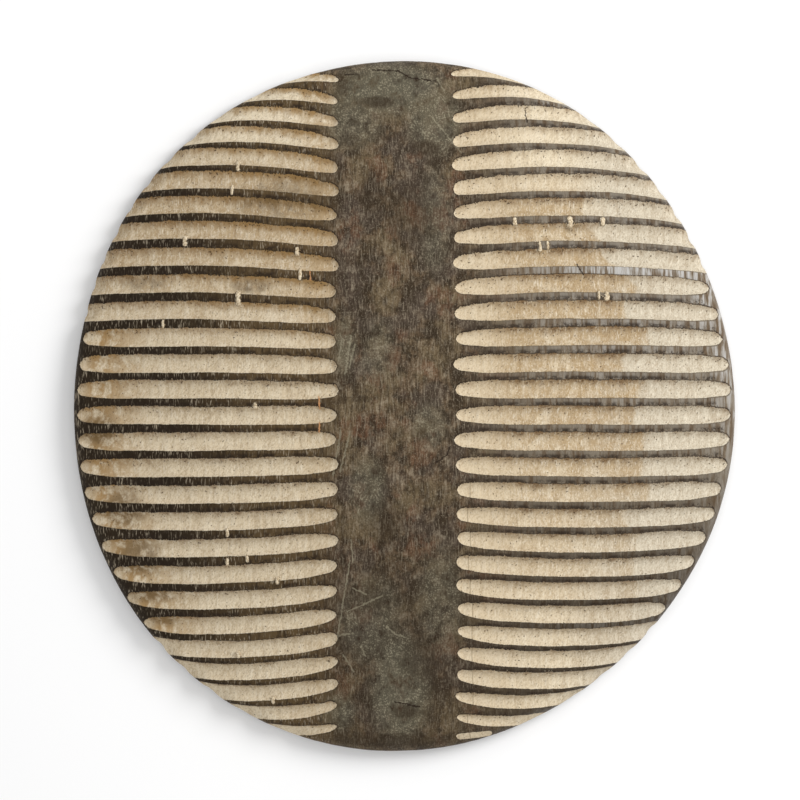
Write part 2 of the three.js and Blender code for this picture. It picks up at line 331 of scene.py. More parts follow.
def outward(x, y):
    """Bearing in which the face falls away, as a unit vector."""
    angle = np.arctan2(y, x)
    radius = outline_radius(angle)
    growth = (outline_radius(angle + TINY) - outline_radius(angle - TINY)) / (2 * TINY) / radius
    out_x = np.cos(angle) + growth * np.sin(angle)
    out_y = np.sin(angle) - growth * np.cos(angle)
    length = np.hypot(out_x, out_y)
    return out_x / length, out_y / length


SHARES = 1 - np.linspace(1, 0, 4000) ** 2
SECTION_STEPS = np.hypot(np.diff(SHARES * MEAN_RADIUS), np.diff(face_height(SHARES)))
SECTION_ARCS = np.concatenate([[0], np.cumsum(SECTION_STEPS)])


def arc_of(share):
    """Length along the section from the crown out to a share."""
    return np.interp(share, SHARES, SECTION_ARCS)


def share_of(arc):
    return np.interp(arc, SECTION_ARCS, SHARES)


def on_face(x, y, lift):
    """Points above or below the face by lift, along its normal."""
    share = outline_share(x, y)
    lean = face_lean(share)
    out_x, out_y = outward(x, y)
    side = np.sin(lean) * lift
    return np.stack([x + out_x * side, y + out_y * side, face_height(share) + np.cos(lean) * lift], -1)


def photo_place(pixel_x, pixel_y):
    """Where a pixel of the photograph meets the face, as x and y from the middle of the outline."""
    x = (pixel_x - PHOTO_MIDDLE) * METRES_PER_PIXEL
    y = (PHOTO_MIDDLE - pixel_y) * METRES_PER_PIXEL
    height = RIM_UNDER_RADIUS
    for _ in range(PLACE_ROUNDS):
        nearer = 1 - (height - RIM_UNDER_RADIUS) / (CAMERA_HEIGHT - RIM_UNDER_RADIUS)
        place_x = CAMERA_X + MIDDLE_X + x * nearer
        place_y = CAMERA_Y + MIDDLE_Y + y * nearer
        height = face_height(min(1.0, float(outline_share(place_x, place_y))))
    return place_x, place_y


# Rows of flutes


def crossing(place):
    """Distance at which a line comes to the outline. place gives its x and y at a distance."""
    steps = np.linspace(0, SEARCH_REACH, SEARCH_STEPS)
    first = int(np.argmax(outline_share(*place(steps)) >= 1))
    low, high = steps[first - 1], steps[first]
    for _ in range(SEARCH_ROUNDS):
        middle = (low + high) / 2
        if outline_share(*place(middle)) < 1:
            low = middle
        else:
            high = middle
    return (low + high) / 2


def level_at(arc):
    """The y that lies arc away from the midline, measured over the curve of the dome."""
    return CROWN_RADIUS * np.sin(arc / CROWN_RADIUS)


def row_arc(column, row):
    even = lerp(column["first"], column["last"], row / LAST_ROW)
    turns = (row - column["sway_from"]) / column["sway_rows"]
    return ARC_TO_TOP * (even + column["sway"] * math.sin(2 * math.pi * turns))


def row_fullness(row):
    from_top = smoothstep(row, -1, TOP_NARROW_ROWS)
    from_bottom = smoothstep(LAST_ROW - row, -1, BOTTOM_NARROW_ROWS)
    return lerp(NARROW_SHARE, 1, min(from_top, from_bottom))


class Row:
    """One flute: where it runs, how wide and how deep it is."""

    def __init__(self, column, number):
        self.column = column
        self.side = column["side"]
        self.number = number
        self.arc = row_arc(column, number)
        self.fullness = row_fullness(number)
        self.half_width = FLUTE_WIDTH * self.fullness / 2
        self.noise = Noise(column["seed"] * 1000 + number)
        hand = np.random.default_rng(column["seed"] * 500 + number)
        plain_tip = column["tip"] + column["tip_drift"] * number / LAST_ROW
        level = level_at(self.arc)
        reach = HALF_WIDTH * math.sqrt(1 - (level / HALF_LENGTH) ** 2)
        self.length = reach - plain_tip
        self.tip = plain_tip + hand.uniform(-TIP_JITTER, TIP_JITTER)
        self.tone = hand.uniform(-1, 1)
        self.tip_round = TIP_ROUND * hand.uniform(*TIP_ROUND_RANGE)
        self.swell_from = SWELL_FROM * hand.uniform(*SWELL_RANGE)
        short_from, short_to = column["short_rows"]
        self.ends_short = short_from < number < short_to
        stop_from, stop_to = column["stop_cut_rows"]
        self.stop_cut = stop_from < number < stop_to
        self.stop_at = STOP_CUT_AT * hand.uniform(*STOP_CUT_RANGE)
        self.end_at = crossing(self.place) - column["rim_gap"] * hand.uniform(*RIM_GAP_RANGE)

    def centre_arc(self, distance):
        share = distance / self.length
        belly = np.where(share < 1, share * (1 - share), 1 - share)
        bow = self.column["fan"] * share + self.column["belly"] * belly
        wander = WANDER * self.noise(distance / WANDER_WAVE, WANDER_LANE)
        wander = wander * smoothstep(distance, 0, WANDER_FROM)
        return self.arc + (self.arc / ARC_TO_TOP) * self.length * bow + wander

    def place(self, distance, offset=0):
        """x and y at a distance from the tip, offset upwards from the flute's centre line."""
        return self.side * (self.tip + distance), level_at(self.centre_arc(distance) + offset)

    def openness(self, distance):
        """Share of the full width, rounded at the tip and at an end that stops short."""
        share = self.bullet(distance)
        if self.ends_short:
            share = share * self.bullet(self.end_at - distance)
        return share

    def bullet(self, distance):
        """Share of the full width at a distance from a blunt end."""
        rounded = np.clip(1 - distance / self.tip_round, 0, 1)
        swell = np.sin(math.pi / 2 * np.clip(distance / TIP_SWELL, 0, 1))
        return np.sqrt(1 - rounded**2) * lerp(self.swell_from, 1, swell)

    def half_opening(self, distance, upper):
        """Half of the width on the upper or the lower side, with the edge's own nicks."""
        lane = UPPER_LANE if upper else LOWER_LANE
        uneven = 1 + WIDTH_UNEVEN * self.noise(distance / WIDTH_WAVE, lane)
        nick = EDGE_NICK * (UPPER_NICK if upper else LOWER_NICK)
        nick = nick * self.noise(distance / NICK_WAVE, lane + NICK_LANE_STEP)
        half = self.half_width * self.openness(distance) * uneven
        return half + nick * smoothstep(self.openness(distance), 0, NICKED_FROM)

    def depth(self, distance):
        share = self.openness(distance)
        uneven = 1 + DEPTH_UNEVEN * self.noise(distance / DEPTH_WAVE, DEPTH_LANE)
        deep = FLUTE_DEPTH * self.fullness * share**DEPTH_POWER * uneven
        if self.stop_cut:
            past = smoothstep(distance, self.stop_at - STOP_CUT_SOFT, self.stop_at + STOP_CUT_SOFT)
            before = 1 - past
            ramp = np.clip(distance / self.stop_at, 0, 1)
            deep = deep - STOP_CUT_STEP * self.fullness * before * ramp
        return np.maximum(deep, 0)


def line_samples(row, side_share):
    """Distances along one line of a flute, closer together at the tip and over the rounded edge."""

    def offset(distance):
        bundle = np.maximum(row.openness(distance), LINE_BUNDLE)
        return side_share * row.half_width * bundle

    def line(distance):
        return row.place(distance, offset(distance))

    fine = crossing(line) * (1 - np.linspace(1, 0, FINE_STEPS) ** 2)
    x, y = line(fine)
    share = np.minimum(outline_share(x, y), 1)
    height = face_height(share)
    steps = np.sqrt(np.diff(x) ** 2 + np.diff(y) ** 2 + np.diff(height) ** 2)
    lean = face_lean(share)
    spacing = lerp(TIP_SPACING, MIDDLE_SPACING, smoothstep(fine, *TIP_SPACED))
    spacing = lerp(spacing, EDGE_SPACING, smoothstep(lean, *EDGE_SPACED))
    if row.ends_short:
        from_end = smoothstep(np.abs(fine - row.end_at + row.tip_round / 2), *END_SPACED)
        spacing = lerp(TIP_SPACING, spacing, from_end)
    weight = np.concatenate([[0], np.cumsum(steps / ((spacing[1:] + spacing[:-1]) / 2))])
    wanted = np.linspace(0, weight[-1], ROW_SAMPLES)
    distance = np.interp(wanted, weight, fine)
    return distance, offset(distance)


def column_grid(column):
    """x, y and what the carving does at each point, one line of the grid after another."""
    rows = [Row(column, number) for number in range(ROWS)]
    lines = []
    for row in rows:
        for side_share in FLUTE_LINES:
            distance, offset = line_samples(row, side_share)
            x, y = row.place(distance, offset)
            half = np.maximum(row.half_opening(distance, side_share >= 0), LEAST_HALF)
            bundled = np.maximum(row.openness(distance), LINE_BUNDLE)
            follows = smoothstep(row.openness(distance), LINE_BUNDLE, LINE_BUNDLE + FOLLOW_OVER)
            target = lerp(side_share * row.half_width * bundled, side_share * half, follows)
            target = lerp(target, offset, smoothstep(outline_share(x, y), *SETTLED_AT_RIM))
            x, y = row.place(distance, target)
            across = target / half
            inset = half - np.abs(target)
            if row.ends_short:
                inset = inset - np.maximum(distance - row.end_at, 0)
            lean = face_lean(np.minimum(outline_share(x, y), 1))
            past = np.maximum(lean - LEAVING_ANGLE, 0)
            leaving = RIM_UPPER_RADIUS * (1 / np.cos(past) - 1)
            scoop = row.depth(distance) * (1 - np.abs(across) ** SCOOP_POWER)
            lift = -np.maximum(scoop - leaving, 0)
            lines.append(
                {
                    "x": x,
                    "y": y,
                    "lift": np.where(inset > 0, lift, 0),
                    "across": np.clip(across, -1, 1),
                    "inset": inset,
                    "along": distance,
                    "to_end": row.end_at - distance if row.ends_short else 0 * distance + 1,
                    "tone": 0 * distance + row.tone,
                    "stop": distance - row.stop_at if row.stop_cut else 0 * distance + 1,
                    "chatter": row.noise(distance / CHATTER_WAVE, across * CHATTER_LANES),
                }
            )
        if row.number < LAST_ROW:
            lines.extend([None] * RIDGE_LINES)
    fill_ridges(lines)
    return {key: np.array([line[key] for line in lines]) for key in lines[0]}


def fill_ridges(lines):
    """Puts the lines of each ridge between the edges of the flutes above and below it."""
    for first in range(len(lines)):
        if lines[first] is not None:
            continue
        if lines[first - 1] is None:
            continue
        above = lines[first - 1]
        below = lines[first + RIDGE_LINES]
        gap = np.hypot(above["x"] - below["x"], above["y"] - below["y"])
        spread = smoothstep(above["along"], *RIDGE_SPREAD)
        for number in range(RIDGE_LINES):
            even = (number + 1) / (RIDGE_LINES + 1)
            near = RIDGE_LINE_SHARE if number == 0 else 1 - RIDGE_LINE_SHARE
            share = lerp(even, near, spread)
            x = lerp(above["x"], below["x"], share)
            y = lerp(above["y"], below["y"], share)
            arc = lerp(
                arc_of(np.minimum(outline_share(above["x"], above["y"]), 1)),
                arc_of(np.minimum(outline_share(below["x"], below["y"]), 1)),
                share,
            )
            rescale = share_of(arc) / outline_share(x, y)
            inset = -np.minimum(share, 1 - share) * gap
            inset = inset + lerp(np.minimum(above["inset"], 0), np.minimum(below["inset"], 0), share)
            lines[first + number] = {
                "x": x * rescale,
                "y": y * rescale,
                "lift": 0 * x,
                "across": lerp(above["across"], below["across"], share),
                "inset": inset,
                "along": lerp(above["along"], below["along"], share),
                "to_end": lerp(above["to_end"], below["to_end"], share),
                "tone": lerp(above["tone"], below["tone"], share),
                "stop": 0 * x + 1,
                "chatter": 0 * x,
            }


def face_grid():
    """The whole face from the left outline over the band to the right outline, without its caps."""
    left = column_grid(LEFT)
    right = column_grid(RIGHT)
    shares = (np.arange(1, BAND_INTERVALS) / BAND_INTERVALS)[None, :]
    grid = {}
    for key in left:
        start = left[key][:, :1]
        end = right[key][:, :1]
        band = lerp(start, end, shares)
        if key in ("lift", "chatter"):
            band = 0 * band
        grid[key] = np.concatenate([left[key][:, ::-1], band, right[key]], 1)
    width = lerp(0, BAND_LEFT + BAND_RIGHT, shares)
    from_tips = np.minimum(width, BAND_LEFT + BAND_RIGHT - width)
    columns = slice(ROW_SAMPLES, ROW_SAMPLES + BAND_INTERVALS - 1)
    grid["inset"][:, columns] = np.minimum(grid["inset"][:, columns], -BAND_START) - from_tips
    even = respaced(grid["y"][:, columns])
    settle = smoothstep(from_tips, 0, BAND_SETTLED)
    grid["y"][:, columns] = lerp(grid["y"][:, columns], even, settle)
    return grid


def respaced(y):
    """The same stack of lines with nearly even gaps between neighbours."""
    smooth = y.copy()
    for _ in range(SMOOTHING_ROUNDS):
        smooth[1:-1] = (smooth[:-2] + 2 * smooth[1:-1] + smooth[2:]) / 4
    return smooth


def cap_lines(grid, line):
    """Lines that fill the lens between the first or last line of the grid and the outline."""
    x = grid["x"][line]
    y = grid["y"][line]
    share = np.minimum(outline_share(x, y), 1)
    angle = np.arctan2(y, x)
    arc = arc_of(share)
    rim = SECTION_ARCS[-1]
    caps = []
    for number in range(1, CAP_LINES + 1):
        along = lerp(arc, rim, (number / CAP_LINES) ** CAP_CROWDING)
        out = share_of(along) * outline_radius(angle)
        cap = {key: grid[key][line].copy() for key in grid}
        cap["x"] = out * np.cos(angle)
        cap["y"] = out * np.sin(angle)
        cap["lift"] = 0 * out
        cap["chatter"] = 0 * out
        cap["inset"] = np.minimum(cap["inset"], 0) - (along - arc)
        caps.append(cap)
    return caps


# Stains and worn skin, at places read off the photograph

# Broad stains: pixel, reach along x and y in millimetres, and how dark
STAINS = [
    ((280, 200), 45, 20, 0.55),
    ((97, 430), 18, 15, 0.7),
    ((122, 510), 19, 18, 0.7),
    ((138, 558), 22, 16, 0.65),
    ((150, 595), 20, 9, 0.6),
    ((163, 620), 14, 7, 0.5),
    ((250, 286), 18, 6, 0.75),
    ((145, 283), 22, 6, 0.5),
    ((571, 226), 9, 5, 0.6),
    ((378, 102), 18, 6, 0.8),
    ((425, 148), 15, 8, 0.75),
    ((350, 140), 10, 8, 0.5),
    ((410, 215), 28, 34, 0.45),
    ((372, 190), 14, 26, 0.4),
    ((385, 520), 20, 26, 0.4),
    ((365, 600), 22, 16, 0.5),
    ((420, 660), 22, 24, 0.5),
    ((405, 712), 12, 7, 0.9),
    ((390, 741), 60, 8, 0.6),
]

# Grey powdery patches of worn skin on the band
WORN = [
    ((390, 88), 50, 26, 0.85),
    ((345, 118), 34, 30, 0.6),
    ((435, 120), 26, 32, 0.65),
    ((400, 690), 26, 52, 0.8),
    ((335, 712), 18, 18, 0.7),
    ((370, 620), 30, 40, 0.45),
    ((440, 600), 20, 50, 0.4),
    ((368, 490), 16, 30, 0.6),
    ((345, 345), 10, 26, 0.6),
    ((430, 425), 16, 20, 0.45),
    ((378, 350), 18, 30, 0.35),
    ((435, 220), 14, 50, 0.4),
]


# How far out a patch is still full, and where it ends, as shares of its reach
PATCH_FADE = (0.45, 1.25)


def patches(x, y, places):
    """The strongest of the soft round patches at each point."""
    strongest = 0 * x
    for pixel, reach_x, reach_y, strength in places:
        place_x, place_y = photo_place(*pixel)
        far = np.hypot((x - place_x) / (reach_x * MM), (y - place_y) / (reach_y * MM))
        strongest = np.maximum(strongest, strength * (1 - smoothstep(far, *PATCH_FADE)))
    return strongest


def sliver_row_inset(x, y):
    """Inset of the shallow sliver of a row below the last flute on the right."""
    start, end = (np.array(photo_place(*pixel)) for pixel in SLIVER_ROW)
    run = end - start
    share = np.clip(((x - start[0]) * run[0] + (y - start[1]) * run[1]) / (run @ run), 0, 1)
    gap = np.hypot(x - start[0] - share * run[0], y - start[1] - share * run[1])
    return SLIVER_ROW_HALF - gap


# Mesh of the carving


class Mesh:
    """Points and faces as they are gathered, with one value of each attribute for each point."""

    ATTRIBUTES = ("across", "inset", "along", "to_end", "tone", "stop", "stain", "worn", "back", "peg")

    def __init__(self):
        self.points = []
        self.values = {name: [] for name in self.ATTRIBUTES}
        self.faces = []
        self.count = 0

    def add(self, points, values):
        points = np.asarray(points).reshape(-1, 3)
        numbers = self.count + np.arange(len(points))
        self.points.append(points)
        for name in self.ATTRIBUTES:
            value = np.broadcast_to(np.asarray(values.get(name, 0.0), float).reshape(-1), (len(points),))
            self.values[name].append(value)
        self.count += len(points)
        return numbers

    def triangles(self, corners):
        corners = np.asarray(corners).reshape(-1, 3)
        real = (
            (corners[:, 0] != corners[:, 1])
            & (corners[:, 1] != corners[:, 2])
            & (corners[:, 2] != corners[:, 0])
        )
        self.faces.append(corners[real])

    def sheet(self, numbers):
        """Faces over a grid of point numbers."""
        a = numbers[:-1, :-1].ravel()
        b = numbers[1:, :-1].ravel()
        c = numbers[1:, 1:].ravel()
        d = numbers[:-1, 1:].ravel()
        self.triangles(np.stack([a, b, c], 1))
        self.triangles(np.stack([a, c, d], 1))

    def belt(self, ring, other, angles, other_angles):
        """Faces between two closed rings, whose points lie at increasing angles."""
        i = j = 0
        corners = []
        while i < len(ring) or j < len(other):
            next_i = angles[i + 1] if i < len(ring) else math.inf
            next_j = other_angles[j + 1] if j < len(other) else math.inf
            here = ring[i % len(ring)]
            there = other[j % len(other)]
            if next_i <= next_j:
                i += 1
                corners.append((here, ring[i % len(ring)], there))
            else:
                j += 1
                corners.append((here, other[j % len(other)], there))
        self.triangles(np.array(corners))


def skin_lift(x, y):
    """Low hand-hewn unevenness. It only ever sinks the skin, so the outline isn't outgrown."""
    total = -1
    for wave in (SKIN_BROAD, SKIN_FINE, SKIN_GRAIN):
        noise = Noise(wave["seed"])
        total = total + wave["share"] * noise(x / wave["across"], y / wave["upwards"])
    return SKIN_UNDULATION * total


def build_face(mesh):
    """Adds the face and returns the loop of point numbers on the outline, anticlockwise."""
    grid = face_grid()
    top_caps = cap_lines(grid, 0)
    bottom_caps = cap_lines(grid, -1)
    stack = {}
    for key in grid:
        above = np.array([cap[key] for cap in reversed(top_caps)])
        below = np.array([cap[key] for cap in bottom_caps])
        stack[key] = np.concatenate([above, grid[key], below], 0)
    x, y = stack["x"], stack["y"]
    sliver = sliver_row_inset(x, y)
    inset = np.maximum(stack["inset"], sliver)
    stack["inset"] = inset
    inside = smoothstep(inset, 0, CHATTER_FROM)
    share = np.minimum(outline_share(x, y), 1)
    calm = 1 - smoothstep(share, CALM_FROM, 1)
    wear = EDGE_WEAR * (smoothstep(np.abs(inset), 0, EDGE_WEAR_OUT) - 1) * (inset < EDGE_WEAR_IN)
    lift = stack["lift"] + skin_lift(x, y) - SLIVER_ROW_DEPTH * smoothstep(sliver, 0, SLIVER_ROW_HALF)
    lift = lift + (wear + CHATTER * stack["chatter"] * inside) * calm
    points = on_face(x, y, lift)
    values = {key: stack[key] for key in ("across", "inset", "along", "to_end", "tone", "stop")}
    values["stain"] = patches(x, y, STAINS)
    values["worn"] = patches(x, y, WORN)
    numbers = mesh.add(points, values).reshape(x.shape)
    corner_merge(numbers, x, y)
    mesh.sheet(numbers)
    top = numbers[0, ::-1]
    left = numbers[CAP_LINES : len(numbers) - CAP_LINES, 0]
    bottom = numbers[-1, :]
    right = numbers[CAP_LINES : len(numbers) - CAP_LINES, -1][::-1]
    loop = np.concatenate([right, top, left, bottom])
    return without_repeats(loop)


def corner_merge(numbers, x, y):
    """Gives one number to the cap points that fall together where a cap runs out at the outline."""
    for first, step in ((CAP_LINES, -1), (len(numbers) - CAP_LINES - 1, 1)):
        for line in range(1, CAP_LINES + 1):
            here = first + step * line
            same = np.hypot(x[here] - x[first], y[here] - y[first]) < SAME_PLACE
            numbers[here, same] = numbers[first, same]


def without_repeats(loop):
    kept = [loop[0]]
    for number in loop[1:]:
        if number != kept[-1]:
            kept.append(number)
    if kept[0] == kept[-1]:
        kept.pop()
    return np.array(kept)


def ring_of(share, height, angles):
    radius = share * outline_radius(angles)
    return np.stack([radius * np.cos(angles), radius * np.sin(angles), 0 * angles + height], -1)


# Values of points with no flute near, well outside every cut edge
PLAIN_BACK = {"inset": -20 * MM, "stop": 1, "back": 1}
PLAIN_PEG = {"inset": -3 * MM, "stop": 1, "peg": 1}


def build_back(mesh, loop):
    """Adds the rounded underside of the rim, the flat ring and the adzed hollow."""
    points = np.concatenate(mesh.points)[loop]
    start = int(np.argmin(np.abs(np.arctan2(points[:, 1], points[:, 0]))))
    loop = np.roll(loop, -start)
    points = np.roll(points, -start, 0)
    bearings = np.unwrap(np.arctan2(points[:, 1], points[:, 0]))
    sunk = 1 - np.hypot(points[:, 0], points[:, 1]) / outline_radius(bearings)
    numbers = [loop]
    for step in range(1, UNDER_ROWS + 1):
        turn = math.pi / 2 * step / UNDER_ROWS
        radius = MEAN_RADIUS - RIM_UNDER_RADIUS * (1 - math.cos(turn))
        height = RIM_UNDER_RADIUS * (1 - math.sin(turn))
        share = radius / MEAN_RADIUS - sunk * math.cos(turn) ** 2
        lip = (points[:, 2] - RIM_UNDER_RADIUS) * math.cos(turn) ** 2
        place = ring_of(share, height, bearings)
        place[:, 2] += lip
        numbers.append(mesh.add(place, PLAIN_BACK))
    for upper, lower in zip(numbers[:-1], numbers[1:]):
        ring = np.stack([upper, lower])
        closed = np.concatenate([ring, ring[:, :1]], 1)
        mesh.sheet(closed)
    ring, angles = numbers[-1], np.append(bearings, bearings[0] + 2 * math.pi)
    for share, height in mouth_rings():
        count = hollow_points(share)
        own = bearings[0] + 2 * math.pi * np.arange(count + 1) / count
        flat = share * MEAN_RADIUS
        place = ring_of(share, height, own[:-1])
        if height > MOUTH_WEAR and count > 1:
            place[:, 2] += adze_marks(place)
        other = mesh.add(place, PLAIN_BACK)
        mesh.belt(ring[::-1], other[::-1], -angles[::-1], -own[::-1])
        ring, angles = other, own
    middle = mesh.add([[0, 0, HOLLOW_DEPTH]], PLAIN_BACK)[0]
    fan = np.stack([np.roll(ring, -1), ring, np.full(len(ring), middle)], 1)
    mesh.triangles(fan)


def mouth_rings():
    """Share and height of each ring from the mouth of the hollow in to its middle."""
    hollow_share = HOLLOW_RADIUS / MEAN_RADIUS
    yield (HOLLOW_RADIUS + MOUTH_WEAR) / MEAN_RADIUS, 0
    yield hollow_share, MOUTH_STEP * MOUTH_WEAR
    for number in range(1, HOLLOW_RINGS):
        part = (1 - number / HOLLOW_RINGS) ** HOLLOW_CROWDING
        yield part * hollow_share, HOLLOW_DEPTH * (1 - part**HOLLOW_FULLNESS)


def hollow_points(share):
    """How many points a ring of the hollow has: fewer the smaller it is."""
    for least, part in HOLLOW_THINNING:
        if share > least:
            return HOLLOW_POINTS // part


def adze_marks(place):
    """Shallow scoops of an adze, in rough rows across the hollow."""
    x, y = place[:, 0], place[:, 1]
    wander = Noise(ADZE_SEED)(x / ADZE_WAVE, y / ADZE_WAVE)
    rows = np.abs(np.sin(math.pi * (y / ADZE_ROW + wander)))
    strokes = np.abs(np.sin(math.pi * (x / ADZE_STROKE + ADZE_STROKE_WANDER * wander)))
    fade = smoothstep(HOLLOW_RADIUS - np.hypot(x, y), *ADZE_FADE)
    marks = ADZE_ROW_SHARE * rows + ADZE_STROKE_SHARE * (strokes + wander) - ADZE_LEVEL
    return ADZE_DEPTH * fade * marks


def body(name, points, faces, values):
    """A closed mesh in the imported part's frame, with its values at every point."""
    data = bpy.data.meshes.new(name)
    data.from_pydata((points - np.array([MIDDLE_X, MIDDLE_Y, 0])).tolist(), [], faces)
    for key, value in values.items():
        attribute = data.attributes.new(key, "FLOAT", "POINT")
        attribute.data.foreach_set("value", np.broadcast_to(value, len(points)).astype(np.float32))
    data.shade_smooth()
    piece = bpy.data.objects.new(name, data)
    bpy.context.scene.collection.objects.link(piece)
    return piece


def build_shield():
    mesh = Mesh()
    loop = build_face(mesh)
    build_back(mesh, loop)
    values = {name: np.concatenate(mesh.values[name]) for name in Mesh.ATTRIBUTES}
    return body("shield_carving", np.concatenate(mesh.points), np.concatenate(mesh.faces).tolist(), values)


# Pegs and slivers

# Pale wood left standing across the dark ridges: pixel, height and width in pixels
PEGS = [
    ((185, 241), 12, 5),
    ((238, 298), 15, 6),
    ((232, 190), 11, 3),
    ((238, 166), 12, 4),
    ((297, 251), 9, 4),
    ((300, 274), 12, 3),
    ((163, 324), 9, 2.5),
    ((227, 533), 9, 3),
    ((227, 562), 8, 3),
    ((247, 559), 7, 2.5),
    ((277, 581), 8, 3),
    ((255, 406), 6, 4),
    ((238, 655), 8, 3.5),
    ((273, 701), 8, 3.5),
    ((570, 221), 12, 6),
    ((603, 221), 9, 5),
    ((515, 221), 9, 4.5),
    ((540, 246), 11, 3.5),
    ((548, 245), 9, 3),
    ((607, 296), 10, 6),
    ((599, 295), 9, 2),
]
PEG_RISE = 0.45 * MM
PEG_WIDENING = 1.25
PEG_ROUGHNESS = 0.22
PEG_RINGS = 9
PEG_POINTS = 14
PEG_SQUARENESS = 5
PEG_SEED = 91
PEG_ROUGH_TURN = 1.3
PEG_ROUGH_APART = 7
PEG_ROUGH_STEP = 0.8


def build_pegs():
    """Low rounded bars along the grain, each bedded in its ridge."""
    rough = Noise(PEG_SEED)
    points = []
    faces = []
    turn = 2 * math.pi * np.arange(PEG_POINTS) / PEG_POINTS
    for number, (pixel, height, width) in enumerate(PEGS):
        x, y = photo_place(*pixel)
        surface = on_face(np.array(x), np.array(y), 0.0)
        normal = on_face(np.array(x), np.array(y), 1.0) - surface
        along = np.array([0.0, 1.0, 0.0]) - normal[1] * normal
        along /= np.linalg.norm(along)
        beside = np.cross(along, normal)
        half_length = height / 2 * METRES_PER_PIXEL
        half_width = width / 2 * METRES_PER_PIXEL * PEG_WIDENING
        middle = surface + normal * (PEG_RISE - half_width)
        first = len(points)
        for ring in range(1, PEG_RINGS + 1):
            share = math.cos(math.pi * ring / (PEG_RINGS + 1))
            reach = half_width * math.sqrt(1 - abs(share) ** PEG_SQUARENESS)
            lane = turn * PEG_ROUGH_TURN + PEG_ROUGH_APART * number
            uneven = reach * (1 + PEG_ROUGHNESS * rough(lane, ring * PEG_ROUGH_STEP))
            sideways = np.outer(np.cos(turn) * uneven, beside)
            outwards = np.outer(np.sin(turn) * uneven, normal)
            points.extend(middle + along * half_length * share + sideways + outwards)
        upper_pole = len(points)
        points.append(middle + along * half_length)
        points.append(middle - along * half_length)
        last = first + PEG_POINTS * (PEG_RINGS - 1)
        for i in range(PEG_POINTS):
            following = (i + 1) % PEG_POINTS
            faces.append((upper_pole, first + following, first + i))
            faces.append((upper_pole + 1, last + i, last + following))
            for ring in range(PEG_RINGS - 1):
                start = first + ring * PEG_POINTS
                under = start + PEG_POINTS
                faces.append((start + i, start + following, under + following, under + i))
    return body("pegs", np.array(points), faces, PLAIN_PEG)


# Grip


def quadratic(start, control, end, share):
    share = share[:, None]
    return (1 - share) ** 2 * start + 2 * share * (1 - share) * control + share**2 * end


def grip_edges():
    """The outer and the inner edge of the grip from the side, as matching y and z points."""
    end = GRIP_LENGTH / 2
    opening = GRIP_OPENING / 2
    root = HOLLOW_DEPTH + GRIP_ROOT
    back = GRIP_RECESS
    front = GRIP_RECESS + GRIP_THICKNESS
    straight = opening - GRIP_CORNER
    bend = np.linspace(0, 1, GRIP_BEND_STATIONS)
    outer = quadratic(np.array([-end, root]), np.array([-end, back]), np.array([-straight, back]), bend)
    leg_length = root - front - GRIP_CORNER
    rise = leg_length / (leg_length + GRIP_TURN_LENGTH)
    turning = np.clip((bend - rise) / (1 - rise), 0, 1)
    inner = quadratic(
        np.array([-opening, front + GRIP_CORNER]),
        np.array([-opening, front]),
        np.array([-straight, front]),
        turning,
    )
    leg = np.clip(bend / rise, 0, 1)
    inner[:, 1] = np.where(bend < rise, lerp(root, front + GRIP_CORNER, leg), inner[:, 1])
    middle = np.linspace(-straight, 0, GRIP_STRAIGHT_STATIONS)[1:]
    outer = np.concatenate([outer, np.stack([middle, 0 * middle + back], -1)])
    inner = np.concatenate([inner, np.stack([middle, 0 * middle + front], -1)])
    mirror = np.array([-1, 1])
    return (
        np.concatenate([outer, outer[-2::-1] * mirror]),
        np.concatenate([inner, inner[-2::-1] * mirror]),
    )


def rounded_section(width, thickness, rounding):
    """Points round a rectangle with rounded corners, first value across, second along thickness."""
    points = []
    per_corner = GRIP_SECTION // 4
    corners = [(1, 1, 0), (-1, 1, 90), (-1, -1, 180), (1, -1, 270)]
    for sign_x, sign_t, start in corners:
        for step in range(per_corner):
            turn = math.radians(start + 90 * step / (per_corner - 1))
            across = sign_x * (width / 2 - rounding) + rounding * math.cos(turn)
            through = sign_t * (thickness / 2 - rounding) + rounding * math.sin(turn)
            points.append((across, through))
    return np.array(points)


def build_grip():
    outer, inner = grip_edges()
    noise = Noise(GRIP_SEED)
    rings = []
    for number, (out, into) in enumerate(zip(outer, inner)):
        thickness = np.linalg.norm(out - into)
        middle = (out + into) / 2
        direction = (into - out) / thickness
        section = rounded_section(GRIP_WIDTH, thickness, GRIP_ROUNDING)
        lane = number / GRIP_ROUGH_STATIONS
        rough = GRIP_ROUGHNESS * (noise(section[:, 0] / GRIP_ROUGH_WAVE, lane) - 1)
        shrink = 1 + rough / (GRIP_WIDTH / 2)
        y = middle[0] + section[:, 1] * direction[0] * shrink
        z = middle[1] + section[:, 1] * direction[1] * shrink
        rings.append(np.stack([section[:, 0] * shrink, y, z], -1))
    around = GRIP_SECTION
    faces = []
    for ring in range(len(rings) - 1):
        for i in range(around):
            here = ring * around + i
            beside = ring * around + (i + 1) % around
            faces.append((here, beside, beside + around, here + around))
    last = (len(rings) - 1) * around
    faces.append(tuple(range(around))[::-1])
    faces.append(tuple(range(last, last + around)))
    return body("grip", np.concatenate(rings), faces, PLAIN_BACK)


def weld(shield, others):
    """Joins the other bodies and the wall into one closed mesh."""
    for other in others:
        join = shield.modifiers.new("join", "BOOLEAN")
        join.operation = "UNION"
        join.solver = "MANIFOLD"
        join.object = other
    joined = bpy.data.meshes.new_from_object(shield.evaluated_get(bpy.context.evaluated_depsgraph_get()))
    shield.modifiers.clear()
    old = shield.data
    shield.data = joined
    bpy.data.meshes.remove(old)
    joined.name = "shield_carving"
    for other in others:
        bpy.data.objects.remove(other)


# Marks on the wood, at places read off the photograph

# Thin splinters of orange wood that cross a ridge, by pixel and height
SPLINTERS = [
    ((319, 403), 13),
    ((319, 427), 10),
    ((310, 276), 9),
]

